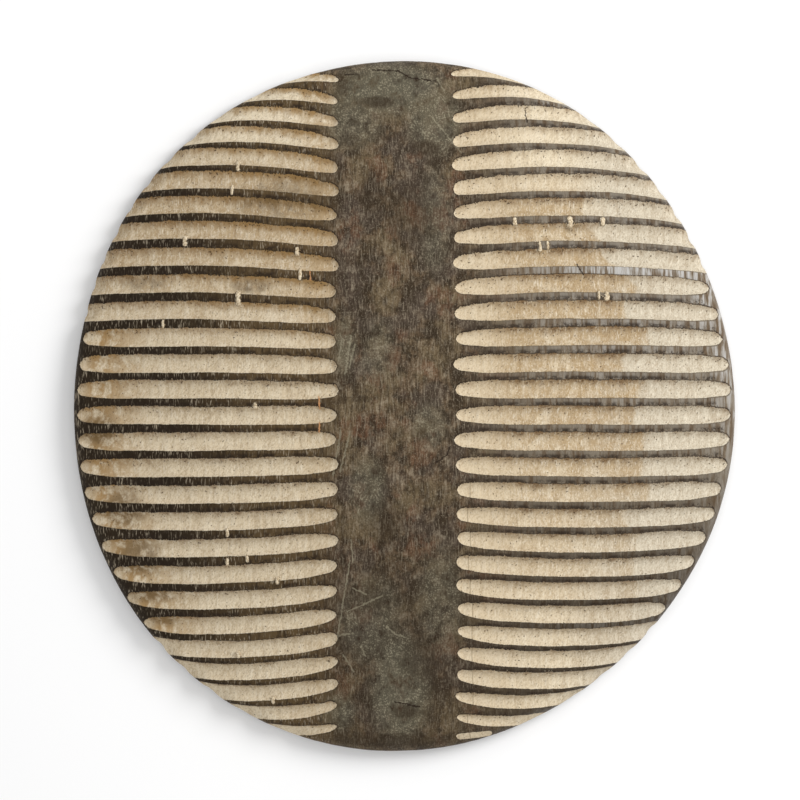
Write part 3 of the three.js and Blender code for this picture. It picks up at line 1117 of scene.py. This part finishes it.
# Pale scratches on the band, from pixel to pixel
SCRATCHES = [
    ((345, 374), (351, 336)),
    ((349, 368), (355, 344)),
    ((339, 360), (342, 338)),
    ((333, 476), (341, 430)),
    ((340, 472), (350, 432)),
    ((337, 640), (350, 560)),
    ((437, 78), (445, 93)),
    ((430, 115), (461, 152)),
    ((352, 588), (366, 594)),
    ((347, 612), (382, 596)),
    ((387, 627), (395, 634)),
    ((395, 634), (408, 638)),
    ((332, 637), (353, 633)),
    ((361, 646), (365, 656)),
    ((343, 655), (354, 672)),
    ((416, 421), (424, 422)),
    ((351, 540), (353, 562)),
]

# Dark cracks and breaks, from pixel to pixel
CRACKS = [
    ((372, 70), (398, 71)),
    ((398, 71), (411, 78)),
    ((411, 78), (436, 81)),
    ((345, 75), (356, 74)),
    ((395, 702), (420, 707)),
    ((577, 265), (583, 274)),
    ((525, 108), (527, 122)),
    ((437, 462), (447, 455)),
    ((447, 455), (450, 447)),
]

# Wood colours, as linear light
TAN = (0.4, 0.285, 0.155)
TAN_LIGHT = (0.71, 0.61, 0.445)
PALE = (0.55, 0.487, 0.378)
CHALK = (0.74, 0.665, 0.53)
# Painted shade: the first brown below darkens the upper wall of each flute, and also marks grain in the
# flutes; the second is painted shade with speckle along those upper walls.
SHADE_AND_GRAIN_BROWN = (0.27, 0.185, 0.1)
UPPER_BROWN = (0.17, 0.1, 0.045)
STAIN_BROWN = (0.115, 0.075, 0.035)
END_ORANGE = (0.33, 0.2, 0.075)
PORE_DARK = (0.085, 0.052, 0.026)
BAND_BROWN = (0.118, 0.078, 0.044)
BAND_DARK = (0.03, 0.019, 0.0095)
BAND_OLIVE = (0.142, 0.103, 0.055)
BAND_PURPLE = (0.062, 0.045, 0.033)
BAND_RED = (0.13, 0.062, 0.032)
BAND_FLECK = (0.36, 0.3, 0.215)
# Painted shadow: this dark also draws the thin line along the upper edge of each flute, besides the real
# cracks.
CRACK_AND_SHADOW_DARK = (0.02, 0.012, 0.007)
WORN_GREY = (0.1, 0.09, 0.062)
WORN_POWDER = (0.27, 0.24, 0.165)
# Ridge colours, partly the skin's own and partly painted light: the dark left stands partly for shade, the
# greyer right partly for sheen.
LEFT_RIDGE_INNER = (0.1, 0.064, 0.028)
LEFT_RIDGE_OUTER = (0.016, 0.0095, 0.004)
RIGHT_RIDGE = (0.205, 0.17, 0.125)
# Painted highlight: a light grey that stands in for the sheen of the light on the right ridges.
RIGHT_PAINTED_SHEEN = (0.42, 0.405, 0.385)
PEG_WOOD = (0.4, 0.3, 0.185)
SPLINTER_ORANGE = (0.5, 0.25, 0.11)
BACK_DARK = (0.035, 0.022, 0.013)
BACK_BROWN = (0.085, 0.056, 0.032)

# Noises in the wood: the size of a feature, and how it is stretched along x, y and z
NOISES = {
    "fibres": {"size": 1.1 * MM, "stretch": (1, 9, 3), "detail": 3, "roughness": 0.6},
    "streaks": {"size": 3.2 * MM, "stretch": (1, 9, 4), "detail": 4, "roughness": 0.62},
    "flecks": {"size": 0.95 * MM, "stretch": (1, 6.5, 3), "detail": 1.5},
    "grit": {"size": 1.3 * MM, "stretch": (1, 1.2, 1), "detail": 2, "roughness": 0.7},
    "pits": {"size": 1.45 * MM, "stretch": (1, 1.1, 1), "detail": 0.5},
    "patch": {"size": 8 * MM, "stretch": (1, 1.3, 1), "detail": 5, "roughness": 0.62},
    "blotch": {"size": 24 * MM, "stretch": (1, 1.5, 1), "detail": 4, "roughness": 0.6},
    "cloud": {"size": 38 * MM, "stretch": (1, 1.2, 1), "turn": 1.0, "detail": 3},
    "ripple": {"size": 4 * MM, "stretch": (1, 7, 3), "detail": 2},
    "chatter": {"size": 1.5 * MM, "stretch": (1, 3.5, 2), "turn": math.radians(38), "detail": 2},
}
NOISE_MIDDLE = 0.5

# Values that stray by noises: the value, and each noise with how far its full swing takes it
STRAYS = {
    # The first two rise towards the upper edge of each flute and carry painted shade on its upper wall.
    "shade": ("across", {"patch": 2.4}),
    "speckle": ("across", {"grit": 2.2, "patch": 2.2}),
    "warmth": ("across", {"patch": 2.0}),
    "aged_edge": ("aged_edge", {"blotch": 30 * MM}),
    "pitting": ("pitting", {"patch": 0.2}),
}

# Where things lie. A mask is a product of parts. Each part names a value, the span over which it
# rises, and its shares at the span's two ends, which are 0 and 1 where none are given. A value
# without a span counts as it is.
LEFT_SIDE = [("x", (-48 * MM, -80 * MM))]
RIGHT_SIDE = [("x", (48 * MM, 115 * MM))]
OPEN_WOOD = [("torn", (-0.2 * MM, 0.2 * MM))]
TORN_MOST = [("across", (-0.6, 0.8), (0.3, 1))]
TORN_FINE = 3.2 * MM
TORN_BROAD = 3.4 * MM
AGED_RIGHT = [
    ("x", (55 * MM, 100 * MM)),
    ("aged_edge", (196 * MM, 190 * MM)),
    ("y", (205 * MM, 160 * MM)),
    ("y", (-210 * MM, 10 * MM), (0.25, 1)),
]
AGED_LEFT = [
    ("x", (-40 * MM, -60 * MM)),
    ("y", (240 * MM, 180 * MM)),
    ("y", (40 * MM, 130 * MM), (0.3, 0.95)),
]
AGED_EDGE_PULL = [("y", (90 * MM, 165 * MM), (0, 50 * MM))]
AGED_EDGE_BY_ROW = 12 * MM
NEAR_END = [
    ("to_end", (75 * MM, 8 * MM)),
    ("to_end", (2 * MM, 15 * MM), (0.3, 1)),
    ("x", (-130 * MM, -210 * MM)),
]
NEAR_TIP = [("along", (42 * MM, 4 * MM)), ("left",)]
PIT_CROWDING = [("across", (-0.2, 1), (0, 0.07))]
PITTED = [("pitting", (0.735, 0.8))]
# Painted shadow: a thin dark line on the ridge just outside each flute's cut edge, strongest along the
# upper edge, which the ridge above shades.
EDGE_SHADOW_OUT = 0.45 * MM
EDGE_SHADOW_LINE = [
    ("from_crease", (0.95 * MM, 0.25 * MM)),
    ("across", (-0.4, 0.4), (0.25, 1)),
    ("patch", (0.35, 0.58), (0.3, 0.85)),
]
FLECKED = [
    ("flecks", (0.54, 0.7)),
    ("blotch", (0.4, 0.58), (0.3, 1)),
    ("left", (0, 1), (0.22, 0.85)),
]
LEFT_RIDGE_SHARE = 0.9
PEG_GRIT = [("grit", (0.4, 0.6))]
BACK_STREAKS = [("streaks", (0.38, 0.62))]

# Layers of colour, each over the ones before it: the colour, its strength and its mask
RUBBED = ("worn", (0, 0.7), (1, 0.3))
BARED_LAYERS = [
    (PALE, 1, [("x", (120 * MM, 180 * MM))]),
    (TAN, 1, [("aged",), ("patch", (0.64, 0.4), (0.4, 0.9))]),
    (TAN, 0.5, [("cloud", (0.46, 0.62)), ("aged",)]),
    # Painted shade: brown on the upper wall of each flute, which faces away from the light.
    (SHADE_AND_GRAIN_BROWN, 1, [("shade", (-0.2, 1.3)), ("aged", (0, 1), (0.3, 0.8))]),
    (SHADE_AND_GRAIN_BROWN, 0.2, [("ripple", (0.5, 0.34))]),
    (CHALK, 0.25, [("ripple", (0.5, 0.66))]),
    (SHADE_AND_GRAIN_BROWN, 0.3, [("chatter", (0.52, 0.34))]),
    (SHADE_AND_GRAIN_BROWN, 0.4, [("grit", (0.5, 0.3))]),
    (CHALK, 0.55, [("grit", (0.54, 0.72))]),
    (CHALK, 0.6, [("flecks", (0.56, 0.72))]),
    # Painted shade with speckle: darker brown along the upper edge of each flute.
    (UPPER_BROWN, 1, [("speckle", (0.6, 1.35)), ("aged", (0, 1), (0.58, 0.95))]),
    (END_ORANGE, 0.9, [("patch", (0.38, 0.56)), ("near_end",)]),
    (TAN, 1, [("x", (30 * MM, 45 * MM)), ("x", (115 * MM, 60 * MM), (0, 0.3))]),
    (TAN, 0.6, [("patch", (0.4, 0.6)), ("near_tip",)]),
    (END_ORANGE, 0.6, [("patch", (0.4, 0.58)), ("near_tip",), ("y", (10 * MM, 110 * MM))]),
    (
        END_ORANGE,
        0.8,
        [("along", (230 * MM, 30 * MM)), ("left",), ("warmth", (0.05, 1.05)), ("y", (20 * MM, 110 * MM))],
    ),
    (STAIN_BROWN, 1, [("stain",), ("patch", (0.36, 0.6), (0.3, 1))]),
    (STAIN_BROWN, 0.5, [("from_stop", (0.9 * MM, 0))]),
    (PORE_DARK, 0.85, [("pitted",)]),
]
BAND_LAYERS = [
    (BAND_BROWN, 1, [("patch", (0.4, 0.59))]),
    (BAND_OLIVE, 0.75, [("cloud", (0.49, 0.6))]),
    (BAND_PURPLE, 0.8, [("cloud", (0.5, 0.39))]),
    (BAND_RED, 0.65, [("blotch", (0.54, 0.66))]),
    (BAND_DARK, 0.75, [("blotch", (0.48, 0.36))]),
    (BAND_DARK, 0.6, [("patch", (0.46, 0.34))]),
    (BAND_FLECK, 0.4, [("patch", (0.56, 0.7))]),
    (BAND_DARK, 0.5, [("streaks", (0.5, 0.36)), RUBBED]),
    (BAND_DARK, 0.4, [("fibres", (0.48, 0.34)), RUBBED]),
    (BAND_FLECK, 0.34, [("fibres", (0.52, 0.68)), RUBBED]),
    (BAND_DARK, 0.55, [("grit", (0.46, 0.32))]),
    (BAND_FLECK, 0.35, [("grit", (0.55, 0.7))]),
    (BAND_DARK, 0.3, [("y", (-70 * MM, -170 * MM))]),
    (WORN_GREY, 1, [("patch", (0.3, 0.5)), ("worn",)]),
    (WORN_POWDER, 0.8, [("grit", (0.5, 0.64)), ("worn", (0.02, 0.6)), ("patch", (0.42, 0.56))]),
    (BAND_DARK, 0.8, [("stain", (0, 0.8)), ("patch", (0.36, 0.56), (0.4, 1))]),
]
# The ridges are much darker on the left, darkest towards the outer left, and greyer on the right, darker
# there towards the bottom: partly the skin's own colour, partly painted shade on the left and painted
# sheen from the light at the upper right.
LEFT_RIDGE_LAYERS = [
    (LEFT_RIDGE_OUTER, 1, [("x", (-100 * MM, -200 * MM))]),
    (LEFT_RIDGE_OUTER, 0.7, [("streaks", (0.5, 0.34))]),
]
RIGHT_RIDGE_LAYERS = [
    (RIGHT_RIDGE, 1, [("streaks", (0.34, 0.56))]),
    (BAND_DARK, 1, [("y", (0, -190 * MM), (0.1, 0.8))]),
    # Painted highlight: light grey in the middle of the right ridges, strongest towards the upper right,
    # where the light reflects.
    (
        RIGHT_PAINTED_SHEEN,
        1,
        [
            ("streaks", (0.42, 0.64)),
            ("x", (70 * MM, 170 * MM)),
            ("y", (-70 * MM, 70 * MM), (0.12, 1)),
            ("inset", (-0.5 * MM, -1.6 * MM)),
            ("inset", (-8 * MM, -4.5 * MM)),
        ],
    ),
]
MARK_AND_SHADOW_LAYERS = [
    # Painted shadow: the dark line along the upper edges of the flutes; the cracks and splinters below are
    # real.
    (CRACK_AND_SHADOW_DARK, 1, [("crease",)]),
    (CRACK_AND_SHADOW_DARK, 0.9, [("cracks",)]),
    (SPLINTER_ORANGE, 0.9, [("splinters",)]),
]

# Lines of the marks, which stray a little to either side
LINE_WAVE = 3 * MM
LINE_STRAY = 2.6 * MM
LINE_CORE = 0.45
SCRATCH_HALF = 0.95 * MM
SCRATCH_SHARE = 0.5
CRACK_HALF = 0.9 * MM
SPLINTER_HALF = 0.85 * MM
SPLINTER_LEAN = 0.5

# Gloss and fine relief
SKIN_ROUGHNESS = 0.7
RIGHT_POLISH = 0.26
BARED_ROUGHER = 0.2
ROUGHNESS_UNEVEN = 0.3
SPECULAR_LEVEL = 0.1
FIBRE_RELIEF = 0.45
GRIT_RELIEF = 0.6
RIPPLE_RELIEF = 1.2
RELIEF_HEIGHT = 0.7 * MM
RELIEF_STRENGTH = 1.0


class Nodes:
    """A short way to write a node tree."""

    def __init__(self, material):
        material.use_nodes = True
        self.tree = material.node_tree
        self.tree.nodes.clear()

    def new(self, kind, **settings):
        node = self.tree.nodes.new(kind)
        for name, value in settings.items():
            setattr(node, name, value)
        return node

    def put(self, value, socket):
        if isinstance(value, bpy.types.NodeSocket):
            self.tree.links.new(value, socket)
        elif isinstance(value, tuple) and socket.type == "RGBA":
            socket.default_value = (*value, 1)
        else:
            socket.default_value = value

    def attribute(self, name):
        node = self.new("ShaderNodeAttribute", attribute_type="GEOMETRY", attribute_name=name)
        return node.outputs["Fac"]

    def math(self, operation, *values):
        node = self.new("ShaderNodeMath", operation=operation)
        for value, socket in zip(values, node.inputs):
            self.put(value, socket)
        return node.outputs[0]

    def chained(self, operation, values):
        total = values[0]
        for value in values[1:]:
            total = self.math(operation, total, value)
        return total

    def plus(self, *values):
        return self.chained("ADD", values)

    def times(self, *values):
        return self.chained("MULTIPLY", values)

    def most(self, *values):
        return self.chained("MAXIMUM", values)

    def vector(self, operation, *values):
        node = self.new("ShaderNodeVectorMath", operation=operation)
        for value, socket in zip(values, node.inputs):
            self.put(value, socket)
        return node.outputs["Value" if operation in ("LENGTH", "DOT_PRODUCT") else "Vector"]

    def scaled(self, vector, amount):
        node = self.new("ShaderNodeVectorMath", operation="SCALE")
        self.put(vector, node.inputs[0])
        self.put(amount, node.inputs["Scale"])
        return node.outputs["Vector"]

    def ramp(self, value, span, shares=(0.0, 1.0)):
        """Runs smoothly from the first share to the second as the value goes over the span."""
        node = self.new("ShaderNodeMapRange", interpolation_type="SMOOTHSTEP")
        self.put(value, node.inputs["Value"])
        for limit, name in zip((*span, *shares), ("From Min", "From Max", "To Min", "To Max")):
            self.put(limit, node.inputs[name])
        return node.outputs[0]

    def mix(self, share, one, other):
        node = self.new("ShaderNodeMix", data_type="RGBA")
        self.put(share, node.inputs[0])
        self.put(one, node.inputs[6])
        self.put(other, node.inputs[7])
        return node.outputs[2]

    def stretched(self, place, size, stretch, turn=0.0):
        """Coordinates in which one unit is size metres, times stretch along each axis."""
        mapping = self.new("ShaderNodeMapping", vector_type="POINT")
        turned = self.new("ShaderNodeMapping", vector_type="POINT")
        self.put(place, turned.inputs["Vector"])
        turned.inputs["Rotation"].default_value = (0, 0, turn)
        self.put(turned.outputs[0], mapping.inputs["Vector"])
        mapping.inputs["Scale"].default_value = tuple(1 / (size * s) for s in stretch)
        return mapping.outputs[0]

    def noise(self, place, size, stretch, turn=0.0, detail=3.0, roughness=0.55):
        """Noise whose features are about size across in metres, times stretch along each axis."""
        node = self.new("ShaderNodeTexNoise", noise_dimensions="3D")
        self.put(self.stretched(place, size, stretch, turn), node.inputs["Vector"])
        node.inputs["Scale"].default_value = 1
        node.inputs["Detail"].default_value = detail
        node.inputs["Roughness"].default_value = roughness
        return node.outputs["Fac"]

    def bump(self, height, distance, strength):
        node = self.new("ShaderNodeBump")
        self.put(height, node.inputs["Height"])
        node.inputs["Distance"].default_value = distance
        node.inputs["Strength"].default_value = strength
        return node.outputs[0]

    def near_line(self, flat, start, end, half_width):
        """1 on the line between two pixels of the photograph, fading out at half_width from it."""
        start_x, start_y = photo_place(*start)
        end_x, end_y = photo_place(*end)
        run = (end_x - start_x, end_y - start_y, 0)
        away = self.vector("SUBTRACT", flat, (start_x - MIDDLE_X, start_y - MIDDLE_Y, 0))
        share = self.math("DIVIDE", self.vector("DOT_PRODUCT", away, run), run[0] ** 2 + run[1] ** 2)
        share = self.math("MINIMUM", self.math("MAXIMUM", share, 0.0), 1.0)
        gap = self.vector("SUBTRACT", away, self.scaled(run, share))
        return self.ramp(self.vector("LENGTH", gap), (half_width, LINE_CORE * half_width))


class Wood(Nodes):
    """The skin, the bared wood of the flutes and the marks on both, over the carving's own values."""

    def __init__(self, material):
        super().__init__(material)
        place = self.new("ShaderNodeTexCoord").outputs["Object"]
        apart = self.new("ShaderNodeSeparateXYZ")
        self.put(place, apart.inputs[0])
        self.x, self.y, _ = apart.outputs
        for name in Mesh.ATTRIBUTES:
            setattr(self, name, self.attribute(name))
        for name, settings in NOISES.items():
            setattr(self, name, self.noise(place, **settings))
        self.left = self.masked(LEFT_SIDE)
        self.right = self.masked(RIGHT_SIDE)
        self.find_edges()
        self.find_marks()

    def find_edges(self):
        """Where the bared wood begins, has browned, is pitted, and ends, with the painted shadow line
        along the cut edges and the painted shade on the upper walls of the flutes.
        """
        stray = self.plus(self.centred(self.grit, TORN_FINE), self.centred(self.patch, TORN_BROAD))
        self.torn = self.plus(self.inset, self.times(stray, self.masked(TORN_MOST)))
        self.open_wood = self.masked(OPEN_WOOD)
        # Distance to the painted shadow line just outside the cut edge.
        self.from_crease = self.math("ABSOLUTE", self.plus(self.torn, EDGE_SHADOW_OUT))
        self.from_stop = self.math("ABSOLUTE", self.stop)
        by_row = self.times(self.tone, AGED_EDGE_BY_ROW)
        self.aged_edge = self.plus(self.x, by_row, self.masked(AGED_EDGE_PULL))
        self.pitting = self.plus(self.pits, self.masked(PIT_CROWDING))
        for name, (value, noises) in STRAYS.items():
            strays = (self.centred(getattr(self, noise), amount) for noise, amount in noises.items())
            setattr(self, name, self.plus(getattr(self, value), *strays))
        self.aged = self.most(self.masked(AGED_RIGHT), self.masked(AGED_LEFT))
        self.near_end = self.masked(NEAR_END)
        self.near_tip = self.masked(NEAR_TIP)
        self.pitted = self.masked(PITTED)
        self.crease = self.masked(EDGE_SHADOW_LINE)

    def find_marks(self):
        """Scratches, cracks and upright splinters, on lines that waver."""
        joined = self.new("ShaderNodeCombineXYZ")
        self.put(self.x, joined.inputs[0])
        self.put(self.y, joined.inputs[1])
        flat = joined.outputs[0]
        wobble = self.new("ShaderNodeTexNoise", noise_dimensions="2D")
        self.put(self.stretched(flat, LINE_WAVE, (1, 1, 1)), wobble.inputs["Vector"])
        wobble.inputs["Scale"].default_value = 1
        swing = self.vector("SUBTRACT", wobble.outputs["Color"], 3 * (NOISE_MIDDLE,))
        shaken = self.vector("ADD", flat, self.scaled(swing, LINE_STRAY))
        upright = []
        for (x, y), height in SPLINTERS:
            upright.append(((x, y - height / 2), (x + SPLINTER_LEAN, y + height / 2)))
        self.scratches = self.lines(shaken, SCRATCHES, SCRATCH_HALF)
        self.cracks = self.lines(shaken, CRACKS, CRACK_HALF)
        self.splinters = self.lines(shaken, upright, SPLINTER_HALF)

    def lines(self, shaken, pairs, half_width):
        return self.most(*(self.near_line(shaken, start, end, half_width) for start, end in pairs))

    def centred(self, noise, amount):
        """The noise's swing about its middle, as amount at the full swing."""
        return self.times(self.math("SUBTRACT", noise, NOISE_MIDDLE), amount)

    def masked(self, parts):
        """Product of a mask's parts."""
        shares = []
        for name, *span in parts:
            value = getattr(self, name)
            shares.append(self.ramp(value, *span) if span else value)
        return self.times(*shares)

    def layered(self, colour, layers):
        """The colour under a list of layers."""
        for over, strength, parts in layers:
            colour = self.mix(self.times(self.masked(parts), strength), colour, over)
        return colour

    def skin(self):
        """Colour of the dark uncut surface: the band, the ridges and the rim."""
        band = self.layered(BAND_DARK, BAND_LAYERS)
        left_ridge = self.layered(LEFT_RIDGE_INNER, LEFT_RIDGE_LAYERS)
        right_ridge = self.layered(BAND_BROWN, RIGHT_RIDGE_LAYERS)
        # Partly painted light: the dark left ridges and the greyer right ones stand partly for shade and
        # sheen.
        colour = self.mix(self.times(self.left, LEFT_RIDGE_SHARE), band, left_ridge)
        colour = self.mix(self.right, colour, right_ridge)
        colour = self.mix(self.masked(FLECKED), colour, BAND_FLECK)
        return self.mix(self.times(self.scratches, SCRATCH_SHARE), colour, WORN_POWDER)

    def colour(self):
        bared = self.layered(TAN_LIGHT, BARED_LAYERS)
        colour = self.layered(self.mix(self.open_wood, self.skin(), bared), MARK_AND_SHADOW_LAYERS)
        colour = self.mix(self.peg, colour, self.mix(self.masked(PEG_GRIT), PEG_WOOD, TAN_LIGHT))
        return self.mix(self.back, colour, self.mix(self.masked(BACK_STREAKS), BACK_DARK, BACK_BROWN))

    def roughness(self):
        """Dry where the wood is bare, and smoother on the skin at the right."""
        bare = self.most(self.open_wood, self.peg)
        polish = self.times(self.right, self.math("SUBTRACT", 1.0, bare), -RIGHT_POLISH)
        dry = self.times(bare, BARED_ROUGHER)
        return self.plus(polish, SKIN_ROUGHNESS, dry, self.centred(self.patch, ROUGHNESS_UNEVEN))

    def relief(self):
        grain = self.plus(self.times(self.fibres, FIBRE_RELIEF), self.times(self.grit, GRIT_RELIEF))
        scooped = self.plus(self.times(self.ripple, RIPPLE_RELIEF), self.chatter)
        scooped = self.math("SUBTRACT", scooped, self.pitted)
        return self.plus(grain, self.times(scooped, self.open_wood))

    def finish(self):
        shader = self.new("ShaderNodeBsdfPrincipled")
        self.put(self.colour(), shader.inputs["Base Color"])
        self.put(self.roughness(), shader.inputs["Roughness"])
        bump = self.bump(self.relief(), RELIEF_HEIGHT, RELIEF_STRENGTH)
        self.put(bump, shader.inputs["Normal"])
        shader.inputs["Specular IOR Level"].default_value = SPECULAR_LEVEL
        output = self.new("ShaderNodeOutputMaterial")
        self.put(shader.outputs[0], output.inputs["Surface"])


def wood_material():
    material = bpy.data.materials.new("carved_wood")
    Wood(material).finish()
    return material


# Floor, light and camera

FLOOR_SIZE = 6.0
FLOOR_PALE = (0.94, 0.94, 0.94)
FLOOR_ROUGHNESS = 0.95
KEY_DISTANCE = 2.2
KEY_ELEVATION = math.radians(40)
KEY_BEARING = math.radians(29)
KEY_SIZE = 1.1
KEY_WATTS = 31
FILL_STRENGTH = 0.78
FARTHEST_SEEN = 20


def add_floor():
    data = bpy.data.meshes.new("floor")
    half = FLOOR_SIZE / 2
    corners = [(-half, -half, 0), (half, -half, 0), (half, half, 0), (-half, half, 0)]
    data.from_pydata(corners, [], [(0, 1, 2, 3)])
    floor = bpy.data.objects.new("floor", data)
    material = bpy.data.materials.new("pale_floor")
    nodes = Nodes(material)
    shader = nodes.new("ShaderNodeBsdfPrincipled")
    shader.inputs["Base Color"].default_value = (*FLOOR_PALE, 1)
    shader.inputs["Roughness"].default_value = FLOOR_ROUGHNESS
    shader.inputs["Specular IOR Level"].default_value = 0.0
    output = nodes.new("ShaderNodeOutputMaterial")
    nodes.put(shader.outputs[0], output.inputs["Surface"])
    data.materials.append(material)
    bpy.context.scene.collection.objects.link(floor)


def add_lights():
    data = bpy.data.lights.new("key", "AREA")
    data.shape = "DISK"
    data.size = KEY_SIZE
    data.energy = KEY_WATTS
    key = bpy.data.objects.new("key", data)
    level = KEY_DISTANCE * math.cos(KEY_ELEVATION)
    key.location = (
        level * math.cos(KEY_BEARING),
        level * math.sin(KEY_BEARING),
        KEY_DISTANCE * math.sin(KEY_ELEVATION),
    )
    key.rotation_euler = key.location.to_track_quat("Z", "Y").to_euler()
    bpy.context.scene.collection.objects.link(key)
    world = bpy.data.worlds.new("studio")
    world.use_nodes = True
    background = world.node_tree.nodes["Background"]
    background.inputs["Color"].default_value = (1, 1, 1, 1)
    background.inputs["Strength"].default_value = FILL_STRENGTH
    bpy.context.scene.world = world


def add_camera():
    data = bpy.data.cameras.new("photo_camera")
    data.lens = LENS_MM
    data.sensor_width = SENSOR_MM
    data.clip_end = FARTHEST_SEEN
    camera = bpy.data.objects.new("photo_camera", data)
    camera.location = (CAMERA_X, CAMERA_Y, CAMERA_HEIGHT)
    bpy.context.scene.collection.objects.link(camera)
    bpy.context.scene.camera = camera
    bpy.context.scene.view_settings.view_transform = "Standard"


add_floor()
add_lights()
add_camera()

wood = wood_material()
shield, grip, pegs = build_shield(), build_grip(), build_pegs()
for piece in (shield, grip, pegs):
    piece.data.materials.append(wood)
weld(shield, [grip, pegs])
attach(shield, "root")
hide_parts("shield")
